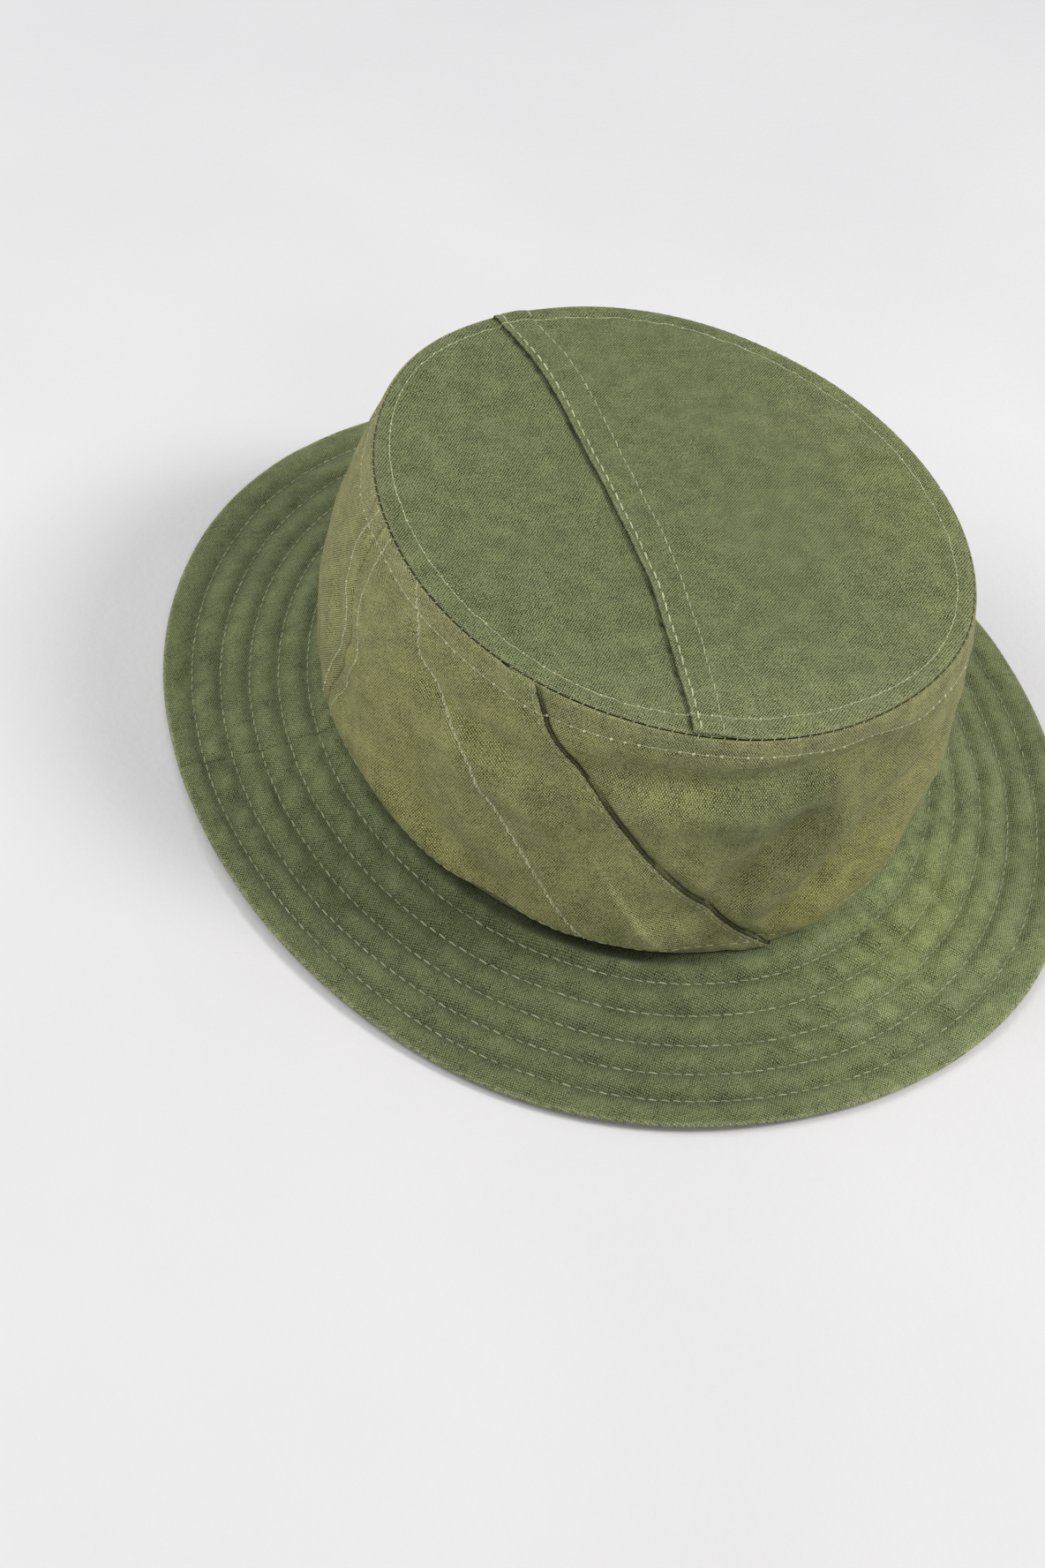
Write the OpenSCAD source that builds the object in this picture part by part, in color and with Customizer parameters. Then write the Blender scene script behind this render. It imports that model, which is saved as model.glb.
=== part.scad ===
// A quilted-brim sun hat of cotton canvas, standing on the edge of its brim.
// The origin is at the hat's centre, on the surface that it stands on. +Z is up and the front is
// towards -Y. The brim's two side seams are on the X axis.

/* [Crown] */
// Width of the crown at the brim seam
crown_base_w = 176.4; // [160:0.2:200]
// Length of the crown at the brim seam, front to back
crown_base_l = 200.8; // [180:0.2:220]
// Width of the tip, the flat top of the crown
tip_w = 170.4; // [150:0.2:180]
// Length of the tip, front to back
tip_l = 183.6; // [165:0.2:200]
// Height of the tip's upper face
crown_h = 91.2; // [80:0.2:110]
// How far the wall swells outwards at half its height
wall_bulge = 2; // [0:0.1:5]
// Height of the sweatband inside the crown
sweatband_h = 30; // [20:1:40]

/* [Brim] */
// Width of the hat across the brim
brim_w = 280; // [260:1:300]
// Length of the hat along the brim
brim_l = 308; // [285:1:325]
// Height of the brim's upper face at the brim seam
brim_seam_h = 14; // [12:0.5:20]
// Drop of the middle of the brim below a straight slope
brim_dip = 2.8; // [0:0.1:3.5]

/* [Cloth] */
// Thickness of the canvas
canvas = 0.8; // [0.5:0.1:1.2]
// Thickness of the stiff interlining in the brim
interlining = 1; // [0.5:0.1:1.5]
// Thickness of the lining and the sweatband's cloth
lining_cloth = 0.4; // [0.3:0.1:0.6]
// Width and height of a row of sewing thread
thread = 0.5; // [0.3:0.1:0.8]

/* [Seams] */
// Place of the folded edge of the tip's lapped seam, left of the middle
tip_lap_x = -18; // [-30:1:0]
// How far the ends of that edge bow away to the left
tip_lap_bow = 9.7; // [0:0.1:15]
// Width of the tip's overlap
tip_overlap = 12; // [10:1:20]
// Angle of the wall's lapped seam at the brim
lap_base_angle = -83; // [-100:1:-70]
// Angle of the wall's lapped seam at the tip
lap_top_angle = -139; // [-150:1:-110]
// Angle that the wall's overlap spans
lap_overlap = 8; // [6:1:12]
// Angle of the left seam at the brim
left_base_angle = -182; // [-195:1:-175]
// Angle of the left seam at the tip
left_top_angle = -181; // [-190:1:-175]

/* [Hidden] */

tip_colour = "#5f6f3c";
wall_colour = "#6b6a3a";
brim_colour = "#4f6238";
lining_colour = "#b9ae8e";
thread_colour = "#b7b582";

step_angle = 5;                 // angle between the columns of a cloth sheet
layer_gap = 0.5;                // slack between the outer cloth and the lining
ease = 0.15;                    // clearance between faceted layers that cross
tip_underside = crown_h - canvas;
brim_stack = 2 * canvas + interlining;
brim_gap = 0.05;                // clearance between the brim and what lies on it
edge_band = 0.955;              // where the brim's flat outer band begins, across the brim
edge_interlining = 0.2;         // thickness of the interlining at the edge
brim_inset = -0.03;             // how far the brim reaches inside the crown, across the brim
brim_rows = 5;
brim_marks = [brim_inset, 1 / 3, 2 / 3, edge_band, 1];
wall_rise = tip_underside - brim_seam_h;
wall_marks = [0:1 / 8:1];
lining_marks = [0:1 / 4:1];
lining_top = 1 - (lining_cloth + 2 * layer_gap) / wall_rise;
tip_row_inset = 6.5;            // distance from the tip's edge to its row of stitches
row_end = 0.1;                  // slanted rows on the wall stop this far from its edges

// ---- Shapes ----

function mix(a, b, t) = a + (b - a) * t;

function oval(w, l, angle, z) = [w / 2 * cos(angle), l / 2 * sin(angle), z];

// Height of the brim's underside. across is 0 at the crown and 1 at the edge.
straight_slope = function(across) (brim_seam_h - brim_stack) * (1 - across);
third_z = straight_slope(1 / 3) - brim_dip * 8 / 9;
two_thirds_z = straight_slope(2 / 3) - brim_dip * 8 / 9;
inner_slope = 3 * (straight_slope(0) - third_z);
brim_profile = [
    [brim_inset, straight_slope(0) - brim_inset * inner_slope],
    [1 / 3, third_z],
    [2 / 3, two_thirds_z],
    [edge_band, 0],
    [1, 0]
];
brim_fall = 2 * inner_slope / (brim_w - crown_base_w);

// A point on the brim, a height above its underside
function brim_point(angle, across, height) = oval(
    mix(crown_base_w, brim_w, across),
    mix(crown_base_l, brim_l, across),
    angle,
    lookup(across, brim_profile) + height
);

// Thickness of the interlining, which thins out in the brim's edge
function interlining_at(across) = lookup(across, [[edge_band, interlining], [1, edge_interlining]]);

// A point on the wall. up is 0 at the brim and 1 at the tip; out is measured from the canvas's
// inner face. The foot of the wall follows the slope of the brim.
function wall_point(angle, up, out) =
    let (swell = 2 * (out - canvas + 4 * wall_bulge * up * (1 - up)))
    oval(
        mix(crown_base_w, tip_w, up) + swell,
        mix(crown_base_l, tip_l, up) + swell,
        angle,
        mix(brim_seam_h + brim_gap + (canvas - out) * brim_fall, tip_underside, up)
    );

// Angles of the wall's seams
function lap_angle(up) = mix(lap_base_angle, lap_top_angle, pow(up, 0.85));
function left_angle(up) = mix(left_base_angle, left_top_angle, up);

// Height of the canvas under a thread: one layer, or two and a clearance at the wall's overlap
function canvas_top(angle, up) =
    let (behind = lap_angle(up) - angle)
    behind > -step_angle && behind < lap_overlap + 2 * step_angle
        ? 2 * canvas + 2 * ease
        : canvas + ease;

// Place of the tip's folded edge
function tip_lap(y) = tip_lap_x - tip_lap_bow * pow(2 * abs(y) / tip_l, 3);

// A solid sheet between two faces. point(u, v, side) gives a point of the inner face (side 0) or
// the outer face (side 1), where u runs over cols steps from 0 to 1 and v takes the marks.
module sheet(cols, marks, point, closed = false) {
    n = closed ? cols : cols + 1;
    places = [for (v = marks) v];
    rows = len(places) - 1;
    id = function(side, i, j) (side * (rows + 1) + j) * n + i % n;
    quad = function(a, b, c, d) [[a, b, c], [a, c, d]];
    points = [
        for (side = [0, 1]) for (v = places) for (i = [0:n - 1]) point(i / cols, v, side)
    ];
    quads = [
        for (j = [0:rows - 1]) for (i = [0:cols - 1])
            each [
                quad(id(1, i, j), id(1, i, j + 1), id(1, i + 1, j + 1), id(1, i + 1, j)),
                quad(id(0, i, j), id(0, i + 1, j), id(0, i + 1, j + 1), id(0, i, j + 1))
            ],
        for (i = [0:cols - 1])
            each [
                quad(id(0, i, 0), id(1, i, 0), id(1, i + 1, 0), id(0, i + 1, 0)),
                quad(id(0, i, rows), id(0, i + 1, rows), id(1, i + 1, rows), id(1, i, rows))
            ],
        if (!closed) for (j = [0:rows - 1])
            each [
                quad(id(0, 0, j), id(0, 0, j + 1), id(1, 0, j + 1), id(1, 0, j)),
                quad(id(0, cols, j), id(1, cols, j), id(1, cols, j + 1), id(0, cols, j + 1))
            ]
    ];
    polyhedron(points, [for (q = quads) each q]);
}

// One layer of the brim between two angles; low and high give its faces across the brim.
// Its angle runs backwards, so that the outer face of the sheet is the upper one.
module brim_layer(from, to, low, high) {
    cols = (to - from) / step_angle;
    point = function(u, v, side) brim_point(mix(to, from, u), v, side == 0 ? low(v) : high(v));
    sheet(cols, brim_marks, point, closed = to - from == 360);
}

// One layer of the wall between two seams, given as functions of the height
module wall_layer(from, to, cols, marks, low, high) {
    point = function(u, v, side) wall_point(mix(from(v), to(v), u), v, side == 0 ? low : high);
    sheet(cols, marks, point);
}

// A row of thread round the wall, which climbs over the overlap
module wall_ring(up) {
    half = thread / 2 / wall_rise;
    point = function(u, v, side)
        let (angle = 360 * u + step_angle / 2 - 180)
        wall_point(angle, v, canvas_top(angle > lap_top_angle - 60 ? angle : angle + 360, v)
            + side * thread);
    sheet(360 / step_angle, [up - half, up + half], point, closed = true);
}

// A slanted row of thread up the wall; place gives its angle at each height
module wall_row(place, low) {
    steps = 8;
    half = 0.16;
    marks = [for (i = [0:steps]) mix(row_end, 1 - row_end, i / steps)];
    point = function(u, v, side) wall_point(place(v) + (2 * u - 1) * half, v, low + side * thread);
    sheet(1, marks, point);
}

// A row of thread round the brim
module brim_row(row) {
    across = row / (brim_rows + 1);
    half = thread / (brim_w - crown_base_w);
    point = function(u, v, side) brim_point(-360 * u, v, brim_stack + brim_gap + side * thread);
    sheet(360 / step_angle, [across - half, across + half], point, closed = true);
}

// The tip's outline, drawn inwards by inset
module tip_outline(inset = 0) {
    polygon([
        for (angle = [0:step_angle / 2:359]) oval(tip_w - 2 * inset, tip_l - 2 * inset, angle, 0)
            * [[1, 0], [0, 1], [0, 0]]
    ]);
}

// The part of the tip from one distance to another to the right of the folded edge
module tip_strip(from, to, inset = 0) {
    reach = tip_l / 2 + 1;
    steps = 24;
    fold = [for (i = [-steps:2:steps]) let (y = reach * i / steps) [tip_lap(y), y]];
    last = len(fold) - 1;
    intersection() {
        tip_outline(inset);
        polygon([
            for (i = [0:last]) fold[i] + [from, 0],
            for (i = [last:-1:0]) fold[i] + [to, 0]
        ]);
    }
}

// ---- Sub-parts ----

// Left half of the tip, whose edge lies under the right half's fold
module tip_panel_left() {
    color(tip_colour)
        translate([0, 0, tip_underside])
            linear_extrude(canvas) tip_strip(-tip_w, tip_overlap);
}

// Right half of the tip, which steps up over the left half
module tip_panel_right() {
    color(tip_colour)
        translate([0, 0, tip_underside]) {
            linear_extrude(canvas) tip_strip(tip_overlap, tip_w);
            linear_extrude(2 * canvas) tip_strip(tip_overlap, tip_overlap + canvas);
            translate([0, 0, canvas]) linear_extrude(canvas) tip_strip(0, tip_overlap + canvas);
        }
}

// Front of the wall, whose left end lies under the left panel
module wall_panel_front() {
    from = function(up) lap_angle(up) - lap_overlap;
    to = function(up) 0;
    color(wall_colour) wall_layer(from, to, 28, wall_marks, 0, canvas);
}

// Left panel of the wall, which steps up over the front panel
module wall_panel_left() {
    cols = 20;
    step_col = cols - 3;
    point = function(u, v, side)
        let (
            i = round(u * cols),
            raised = i > step_col,
            foot = lap_angle(v) - lap_overlap - 0.3,
            angle = raised
                ? mix(foot, lap_angle(v), (i - step_col - 1) / (cols - step_col - 1))
                : mix(left_angle(v), foot - 1, i / step_col)
        )
        wall_point(angle, v, side * canvas + (raised ? canvas + ease : 0));
    color(wall_colour) sheet(cols, wall_marks, point);
}

// Back of the wall, from the right seam to the left seam
module wall_panel_back() {
    from = function(up) 0;
    to = function(up) left_angle(up) + 360;
    color(wall_colour) wall_layer(from, to, 34, wall_marks, 0, canvas);
}

// Upper cloth of the brim, from one angle to another
module brim_top(from, to) {
    low = function(across) canvas + interlining_at(across);
    high = function(across) low(across) + canvas;
    color(brim_colour) brim_layer(from, to, low, high);
}

// Stiff layer inside the brim
module brim_interlining() {
    low = function(across) canvas;
    high = function(across) canvas + interlining_at(across);
    color("white") brim_layer(0, 360, low, high);
}

// Lower cloth of the brim, from one angle to another
module brim_under(from, to) {
    low = function(across) 0;
    high = function(across) canvas;
    color(brim_colour) brim_layer(from, to, low, high);
}

// Lining under the tip, on top of the wall's lining
module lining_tip() {
    inset = canvas + layer_gap;
    z = wall_point(0, lining_top, 0)[2];
    color(lining_colour)
        translate([0, 0, z]) linear_extrude(lining_cloth) tip_outline(inset);
}

// Lining of the wall, from one angle to another
module lining_wall(from_angle, to_angle) {
    marks = [for (mark = lining_marks) mark * lining_top];
    from = function(up) from_angle;
    to = function(up) to_angle;
    color(lining_colour)
        wall_layer(from, to, 36, marks, -layer_gap - lining_cloth, -layer_gap);
}

// Band inside the foot of the crown, folded from two layers
module sweatband() {
    rise = sweatband_h / wall_rise;
    outside = -2 * layer_gap - lining_cloth;
    point = function(u, v, side)
        wall_point(360 * u, v, outside - (1 - side) * 2 * lining_cloth);
    color(lining_colour) sheet(360 / step_angle, [0, rise], point, closed = true);
}

// Stitches beside the tip's folded edge
module thread_tip_lap_edge() {
    color(thread_colour)
        translate([0, 0, crown_h + canvas])
            linear_extrude(thread) tip_strip(2, 2 + thread, tip_row_inset + 2);
}

// Second row of stitches in the tip's overlap
module thread_tip_lap_inner() {
    color(thread_colour)
        translate([0, 0, crown_h + canvas])
            linear_extrude(thread) tip_strip(10, 10 + thread, tip_row_inset + 2);
}

// Row of stitches round the tip, which climbs over the overlap
module thread_tip_rim() {
    color(thread_colour) {
        translate([0, 0, crown_h]) linear_extrude(thread)
            difference() {
                tip_outline(tip_row_inset);
                tip_outline(tip_row_inset + thread);
                tip_strip(-ease, tip_overlap + canvas + ease);
            }
        translate([0, 0, crown_h + canvas]) linear_extrude(thread)
            difference() {
                tip_strip(0, tip_overlap + canvas, tip_row_inset);
                tip_outline(tip_row_inset + thread);
            }
    }
}

// Row of stitches round the wall, under the tip
module thread_wall_top() {
    color(thread_colour) wall_ring(0.93);
}

// Row of stitches round the wall, above the brim
module thread_wall_bottom() {
    color(thread_colour) wall_ring(0.06);
}

// Row of stitches beside the wall's folded edge
module thread_wall_lap_edge() {
    place = function(up) lap_angle(up) - 1.5;
    color(thread_colour) wall_row(place, 2 * canvas + 2 * ease);
}

// Row of stitches along the inner edge of the wall's fold
module thread_wall_lap_inner() {
    place = function(up) lap_angle(up) - 30;
    color(thread_colour) wall_row(place, canvas + ease);
}

// Two rows of stitches, one on each side of the left seam
module thread_left_seam() {
    for (offset_angle = [-6, 6]) {
        place = function(up) left_angle(up) + offset_angle;
        color(thread_colour) wall_row(place, canvas + ease);
    }
}

// Row of stitches that closes the top of the sweatband
module thread_sweatband() {
    rise = sweatband_h / wall_rise;
    half = thread / 2 / wall_rise;
    inside = -2 * layer_gap - 3 * lining_cloth - ease;
    point = function(u, v, side) wall_point(360 * u, v, inside - (1 - side) * thread);
    color(thread_colour)
        sheet(360 / step_angle, [0.9 * rise - half, 0.9 * rise + half], point, closed = true);
}

// One of the rows of stitches that quilt the brim, counted from the crown
module thread_brim_row(row) {
    color(thread_colour) brim_row(row);
}

tip_panel_left();
tip_panel_right();
wall_panel_front();
wall_panel_left();
wall_panel_back();
brim_top(-180, 0);  // brim_top_front
brim_top(0, 180);  // brim_top_back
brim_interlining();
brim_under(-180, 0);  // brim_under_front
brim_under(0, 180);  // brim_under_back
lining_tip();
lining_wall(90, 270);  // lining_wall_left
lining_wall(-90, 90);  // lining_wall_right
sweatband();
thread_tip_lap_edge();
thread_tip_lap_inner();
thread_tip_rim();
thread_wall_top();
thread_wall_bottom();
thread_wall_lap_edge();
thread_wall_lap_inner();
thread_left_seam();
thread_sweatband();
thread_brim_row(1);  // thread_brim_row_1
thread_brim_row(2);  // thread_brim_row_2
thread_brim_row(3);  // thread_brim_row_3
thread_brim_row(4);  // thread_brim_row_4
thread_brim_row(5);  // thread_brim_row_5
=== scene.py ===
"""A canvas sun hat standing on its brim: sewn cloth panels, real rows of stitches, a plain studio.

Everything is in metres in the frame's own axes: +Z up, the hat's front towards -Y.
The cloth is made from three surfaces, wall(), tip() and brim(), which every layer and stitch shares.
"""
import math

import bpy
import numpy as np
from mathutils import Matrix, Vector
from mathutils.geometry import delaunay_2d_cdt


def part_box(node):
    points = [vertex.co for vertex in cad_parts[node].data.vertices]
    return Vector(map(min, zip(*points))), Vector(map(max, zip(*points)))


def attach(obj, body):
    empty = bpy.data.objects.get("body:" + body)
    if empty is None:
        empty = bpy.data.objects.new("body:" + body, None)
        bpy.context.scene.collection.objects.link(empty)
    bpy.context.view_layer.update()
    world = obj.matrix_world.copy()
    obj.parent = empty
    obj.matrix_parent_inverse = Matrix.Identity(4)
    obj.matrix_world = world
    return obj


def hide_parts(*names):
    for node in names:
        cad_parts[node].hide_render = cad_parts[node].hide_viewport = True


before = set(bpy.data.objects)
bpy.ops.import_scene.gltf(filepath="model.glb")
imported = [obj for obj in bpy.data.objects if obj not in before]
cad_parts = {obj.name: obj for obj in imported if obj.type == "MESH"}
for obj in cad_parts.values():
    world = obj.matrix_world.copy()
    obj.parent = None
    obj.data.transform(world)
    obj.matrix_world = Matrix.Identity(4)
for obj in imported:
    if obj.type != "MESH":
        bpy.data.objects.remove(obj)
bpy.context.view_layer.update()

MM = 0.001
RNG = np.random.default_rng(7)

# ---------------------------------------------------------------- sizes from the frame


def half_widths(node, end):
    """Half width, half length and height of a CAD node's outline at its lowest or highest end."""
    points = np.array([v.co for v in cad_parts[node].data.vertices])
    height = getattr(points[:, 2], end)()
    rim = np.abs(points[np.abs(points[:, 2] - height) < 0.5 * MM])
    return rim[:, 0].max(), rim[:, 1].max(), height


BASE_X, BASE_Y, _ = half_widths("wall_panel_back", "min")
TIP_X, TIP_Y, _ = half_widths("wall_panel_back", "max")
EDGE_X, EDGE_Y, _ = half_widths("brim_under_front", "min")
SEAM_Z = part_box("brim_top_front")[1][2]
TIP_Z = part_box("tip_panel_left")[1][2]
BAND_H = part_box("sweatband")[1][2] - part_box("sweatband")[0][2]
WALL_H = TIP_Z - SEAM_Z
WALL_R = (BASE_X + BASE_Y) / 2
BRIM_W = (EDGE_X - BASE_X + EDGE_Y - BASE_Y) / 2

# ---------------------------------------------------------------- sizes of the cloth and its seams

CANVAS = 0.8 * MM             # thicknesses of the cloths
LINING = 0.45 * MM
TWILL = 0.7 * MM
EDGE_Z = 2.2 * MM             # height of the brim's upper face at its edge
CHANNELS = 6                  # channels that the brim's rows of stitches part it into
BRIM_ROWS = [k / CHANNELS for k in range(1, CHANNELS)]
PITCH = 3.5 * MM              # from one stitch to the next
UNDERLAP = math.radians(5.5)  # angle of the front panel's edge under the wall's lap
SEAM_ROLL = 0.35 * MM         # radius of the two rolled edges that meet at the top seam
SEAM_GAP = 0.22 * MM          # gap between them
SEAM_DEPTH = 0.7 * MM         # how far they turn in
SEAM_LENGTH = SEAM_DEPTH + 0.75 * math.pi * SEAM_ROLL

# How far the crown stands out from its plain ellipses, in millimetres:
# (angle in degrees, at the foot, half way up, at the tip)
CROWN_SHAPE = [
    (-180, 5, 9, 0), (-150, 3, 4.8, -0.5), (-120, 2.5, 3.2, -1.8), (-90, 0.8, 2.6, -1.3),
    (-65, 0.8, 3.4, -0.5), (-40, 3.2, 6.2, 2.2), (-15, 2.8, 5.4, 0.8), (15, 2.4, 4.5, -0.8),
    (45, 1.8, 4, -0.6), (70, 1.5, 4.5, 1.6), (95, 1.5, 5, 2.6), (128, 3, 8, 5.4), (155, 5.5, 9.6, 2.4),
]
# How far the brim's edge reaches beyond its plain ellipse, in millimetres: (angle in degrees, reach)
BRIM_SHAPE = [
    (-180, -2), (-145, -2), (-125, -1), (-90, -3.8), (-70, -1), (-50, 3.4), (0, 4.5), (60, 3.5), (115, 3.8),
    (135, 4), (155, 1.6),
]
# How far the foot of the wall bellies out over the brim: (angle in degrees, share)
OVERHANG = [
    (-180, 0.14), (-162, 0.2), (-150, 0.32), (-138, 0.5), (-120, 0.62), (-108, 0.54), (-98, 0.4),
    (-90, 0.25), (-80, 0), (110, 0), (150, 0.1),
]
# Folded edge of the tip's right panel: (y, x) in millimetres, back to front
TIP_FOLD = [
    (90, -28.5), (75, -24), (59, -20.7), (38, -18.6), (15, -18.4), (0, -18.2), (-19, -18), (-36, -19),
    (-56, -21.6), (-72, -24), (-90, -27.4),
]
# Rows and edges on the wall: (up, angle in degrees), from the brim (0) to the tip (1)
WALL_FOLD = [
    (0, -83), (0.05, -86.2), (0.13, -90.2), (0.21, -95.2), (0.31, -101), (0.43, -107.2), (0.5, -111.8),
    (0.6, -116.8), (0.69, -121.5), (0.77, -126.2), (0.84, -131), (0.89, -133.8), (1, -137.5),
]
WALL_INNER_ROW = [
    (0, -114), (0.11, -120.5), (0.2, -125.5), (0.3, -130), (0.38, -135), (0.48, -140), (0.59, -143.8),
    (0.64, -148.2), (0.69, -153.5), (0.74, -157.2), (0.78, -160.2), (0.86, -161.8), (1, -167.5),
]
LEFT_ROW_FRONT = [
    (0, -180), (0.15, -178.5), (0.32, -176), (0.53, -172.4), (0.66, -175.2), (0.73, -177.4), (1, -177.8),
]
LEFT_ROW_BACK = [
    (0, -184), (0.12, -183), (0.36, -180.8), (0.58, -179), (0.71, -183.5), (0.77, -185), (1, -185),
]
LEFT_SEAM = [(0, -182), (0.35, -178.6), (0.57, -176), (0.74, -181), (1, -181.4)]
# The wall's top row as it goes round: (angle in degrees, up)
WALL_TOP_ROW = [
    (-180, 0.935), (-150, 0.905), (-138, 0.898), (-100, 0.936), (-85, 0.926), (-65, 0.888), (-47, 0.86),
    (0, 0.9), (90, 0.92), (150, 0.89),
]
# The tip's row as it goes round: (angle in degrees, distance from the tip's edge in millimetres)
TIP_ROW = [
    (-180, 6.5), (-146, 7.2), (-126, 5.4), (-99, 8.2), (-70, 7), (-56, 4.9), (0, 6.2), (90, 6), (138, 3.6),
]


def hill(x, width):
    """1 at x = 0, falling to 0 over about twice the width."""
    return np.exp(-(x / width) ** 2)


def line(points, width=0.05):
    """A smooth function through points (place, value), rounded over a share of its length."""
    steps, spare, reach = 500, 0.2, 90
    points = np.array(sorted(points), float)
    margin = spare * (points[-1, 0] - points[0, 0])
    count = round(steps * (1 + 2 * spare)) + 1
    dense = np.linspace(points[0, 0] - margin, points[-1, 0] + margin, count)
    values = np.interp(dense, points[:, 0], points[:, 1])
    values += (dense < points[0, 0]) * (dense - points[0, 0]) * slope(points[:2])
    values += (dense > points[-1, 0]) * (dense - points[-1, 0]) * slope(points[-2:])
    kernel = hill(np.arange(-reach, reach + 1) / steps, width)
    padded = np.pad(values, reach, mode="reflect", reflect_type="odd")
    values = np.convolve(padded, kernel / kernel.sum(), mode="valid")
    return lambda place: np.interp(place, dense, values)


def slope(pair):
    """Rise of a value from one point to the next, for each step of its place."""
    return (pair[1, 1] - pair[0, 1]) / (pair[1, 0] - pair[0, 0])


def loop(points, column, width=9.0):
    """A smooth function of the angle through one column of points (angle in degrees, values)."""
    reach = 40
    points = np.array(points, float)
    degrees = np.arange(-180, 180)
    values = np.interp(degrees, points[:, 0], points[:, column], period=360)
    kernel = hill(np.arange(-reach, reach + 1), width)
    values = np.convolve(np.pad(values, reach, mode="wrap"), kernel / kernel.sum(), mode="valid")
    return lambda angle: np.interp(angle, degrees, values, period=360)


stand_out = [loop(CROWN_SHAPE, column) for column in (1, 2, 3)]
brim_reach = loop(BRIM_SHAPE, 1)
wall_top_row = loop(WALL_TOP_ROW, 1)
tip_row_mm = loop(TIP_ROW, 1)
overhang_share = loop(OVERHANG, 1, 5.0)
tip_fold_mm = line(TIP_FOLD)
wall_fold = line(WALL_FOLD, 0.04)
wall_inner_row = line(WALL_INNER_ROW, 0.02)
left_row_front = line(LEFT_ROW_FRONT, 0.03)
left_row_back = line(LEFT_ROW_BACK, 0.03)
left_seam = line(LEFT_SEAM, 0.03)


def tip_fold(y):
    """x of the tip's folded edge."""
    return tip_fold_mm(y / MM) * MM


# ---------------------------------------------------------------- small maths


def ramp(x, start, end):
    """0 before start, 1 after end, smooth between."""
    t = np.clip((x - start) / (end - start), 0, 1)
    return t * t * (3 - 2 * t)


def wrap(angle):
    """Degrees brought into -180 to 180."""
    return (angle + 180) % 360 - 180


def waves(points, length, seed, count=9):
    """A smooth random field, mostly within -1 and 1, whose bumps are about length apart."""
    rng = np.random.default_rng(seed)
    way = rng.normal(size=(count, points.shape[-1]))
    way /= np.linalg.norm(way, axis=1, keepdims=True)
    way *= 2 * math.pi / length * rng.uniform(0.6, 1.5, (count, 1))
    phase = rng.uniform(0, 2 * math.pi, count)
    return np.sin(points @ way.T + phase).sum(-1) / math.sqrt(count)


def seam_roll(distance):
    """Where a seamed edge's cloth lies, at a distance along it: (outwards, up) from a square corner.

    It is the tip's side of the seam. The wall's side is the same curve with the two swapped."""
    turned_in = np.clip(SEAM_DEPTH - distance, 0, SEAM_DEPTH) / math.sqrt(2)
    turn = np.clip((distance - SEAM_DEPTH) / SEAM_ROLL, 0, 0.75 * math.pi) - 0.25 * math.pi
    out = SEAM_ROLL * (np.cos(turn) - 1 - math.sqrt(2)) - SEAM_GAP / math.sqrt(2) - turned_in
    return out, SEAM_ROLL * (np.sin(turn) - 1) - turned_in


def seam_pull(distance, roll):
    """How far the cloth near the seam shifts along itself. roll is seam_roll()'s value along it."""
    return (roll + np.minimum(distance, SEAM_LENGTH)) * (1 - ramp(distance, SEAM_LENGTH, 8 * MM))


def rolled(distance, radius):
    """Drop of a rounded edge at a distance inside it."""
    t = np.clip(1 - distance / radius, 0, 1)
    return radius * (1 - np.sqrt(1 - t * t))


def along(x, y, start, end, width):
    """How near (x, y) is to the segment from start to end: 1 on it, 0 beyond about twice the width.

    The ends fade out."""
    ax, ay = start
    bx, by = end
    length = math.hypot(bx - ax, by - ay)
    t = ((x - ax) * (bx - ax) + (y - ay) * (by - ay)) / length ** 2
    off = ((x - ax) * (by - ay) - (y - ay) * (bx - ax)) / length
    fade = ramp(t, -0.15, 0.25) * (1 - ramp(t, 0.75, 1.15))
    return hill(off, width) * fade


# ---------------------------------------------------------------- the three surfaces

# Soft folds of the wall: start (angle, up), end (angle, up), width in millimetres and depth, where a
# negative depth is a ridge. A depth of 1 is FOLD_DEPTH deep.
FOLD_DEPTH = 2.2 * MM
WALL_FOLDS = [
    ((-124, 0.79), (-66, 0.86), 4.5, 1.5), ((-120, 0.66), (-70, 0.74), 7, -0.8),
    ((-99, 0.26), (-80, 0.72), 6, 1.8), ((-80, 0.72), (-58, 0.80), 6, 1.2),
    ((-87, 0.10), (-64, 0.56), 4.5, 1.7), ((-64, 0.56), (-44, 0.66), 5, 1.1),
    ((-92, 0.22), (-72, 0.64), 4, -0.8), ((-80, 0.06), (-55, 0.34), 7, -1.4),
    ((-162, 0.74), (-134, 0.68), 5, 1.5), ((-152, 0.60), (-124, 0.52), 8, -0.9),
    ((-160, 0.30), (-130, 0.06), 7, 1.3), ((-168, 0.20), (-140, 0.02), 6, -0.9),
    ((-122, 0.38), (-100, 0.02), 3.5, -0.6), ((-108, 0.34), (-89, 0.05), 4, 0.9),
    ((-140, 0.44), (-116, 0.30), 6, 0.5),
    ((-190, 0.66), (-172, 0.20), 6, 0.9), ((30, 0.75), (75, 0.68), 7, 1.2),
    ((15, 0.35), (48, 0.20), 8, 1.0), ((95, 0.55), (140, 0.70), 7, 1.1), ((100, 0.22), (128, 0.34), 6, 0.9),
    ((-40, 0.30), (-12, 0.44), 7, 1.0), ((-30, 0.72), (8, 0.80), 6, 0.9),
]


def overhang(angle):
    """0 to 1: where the foot of the wall bellies out over the brim, at the front left."""
    return np.clip(overhang_share(angle), 0, 1)


def seam_height(angle):
    """Height of the brim seam, which sinks into a groove under the overhang."""
    return SEAM_Z - 3.7 * MM * overhang(angle)


def wall_foot_row(angle):
    """up of the wall's lowest row of stitches, which follows the lower edge of the overhang."""
    return 0.05 + 0.047 * overhang(angle)


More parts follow.
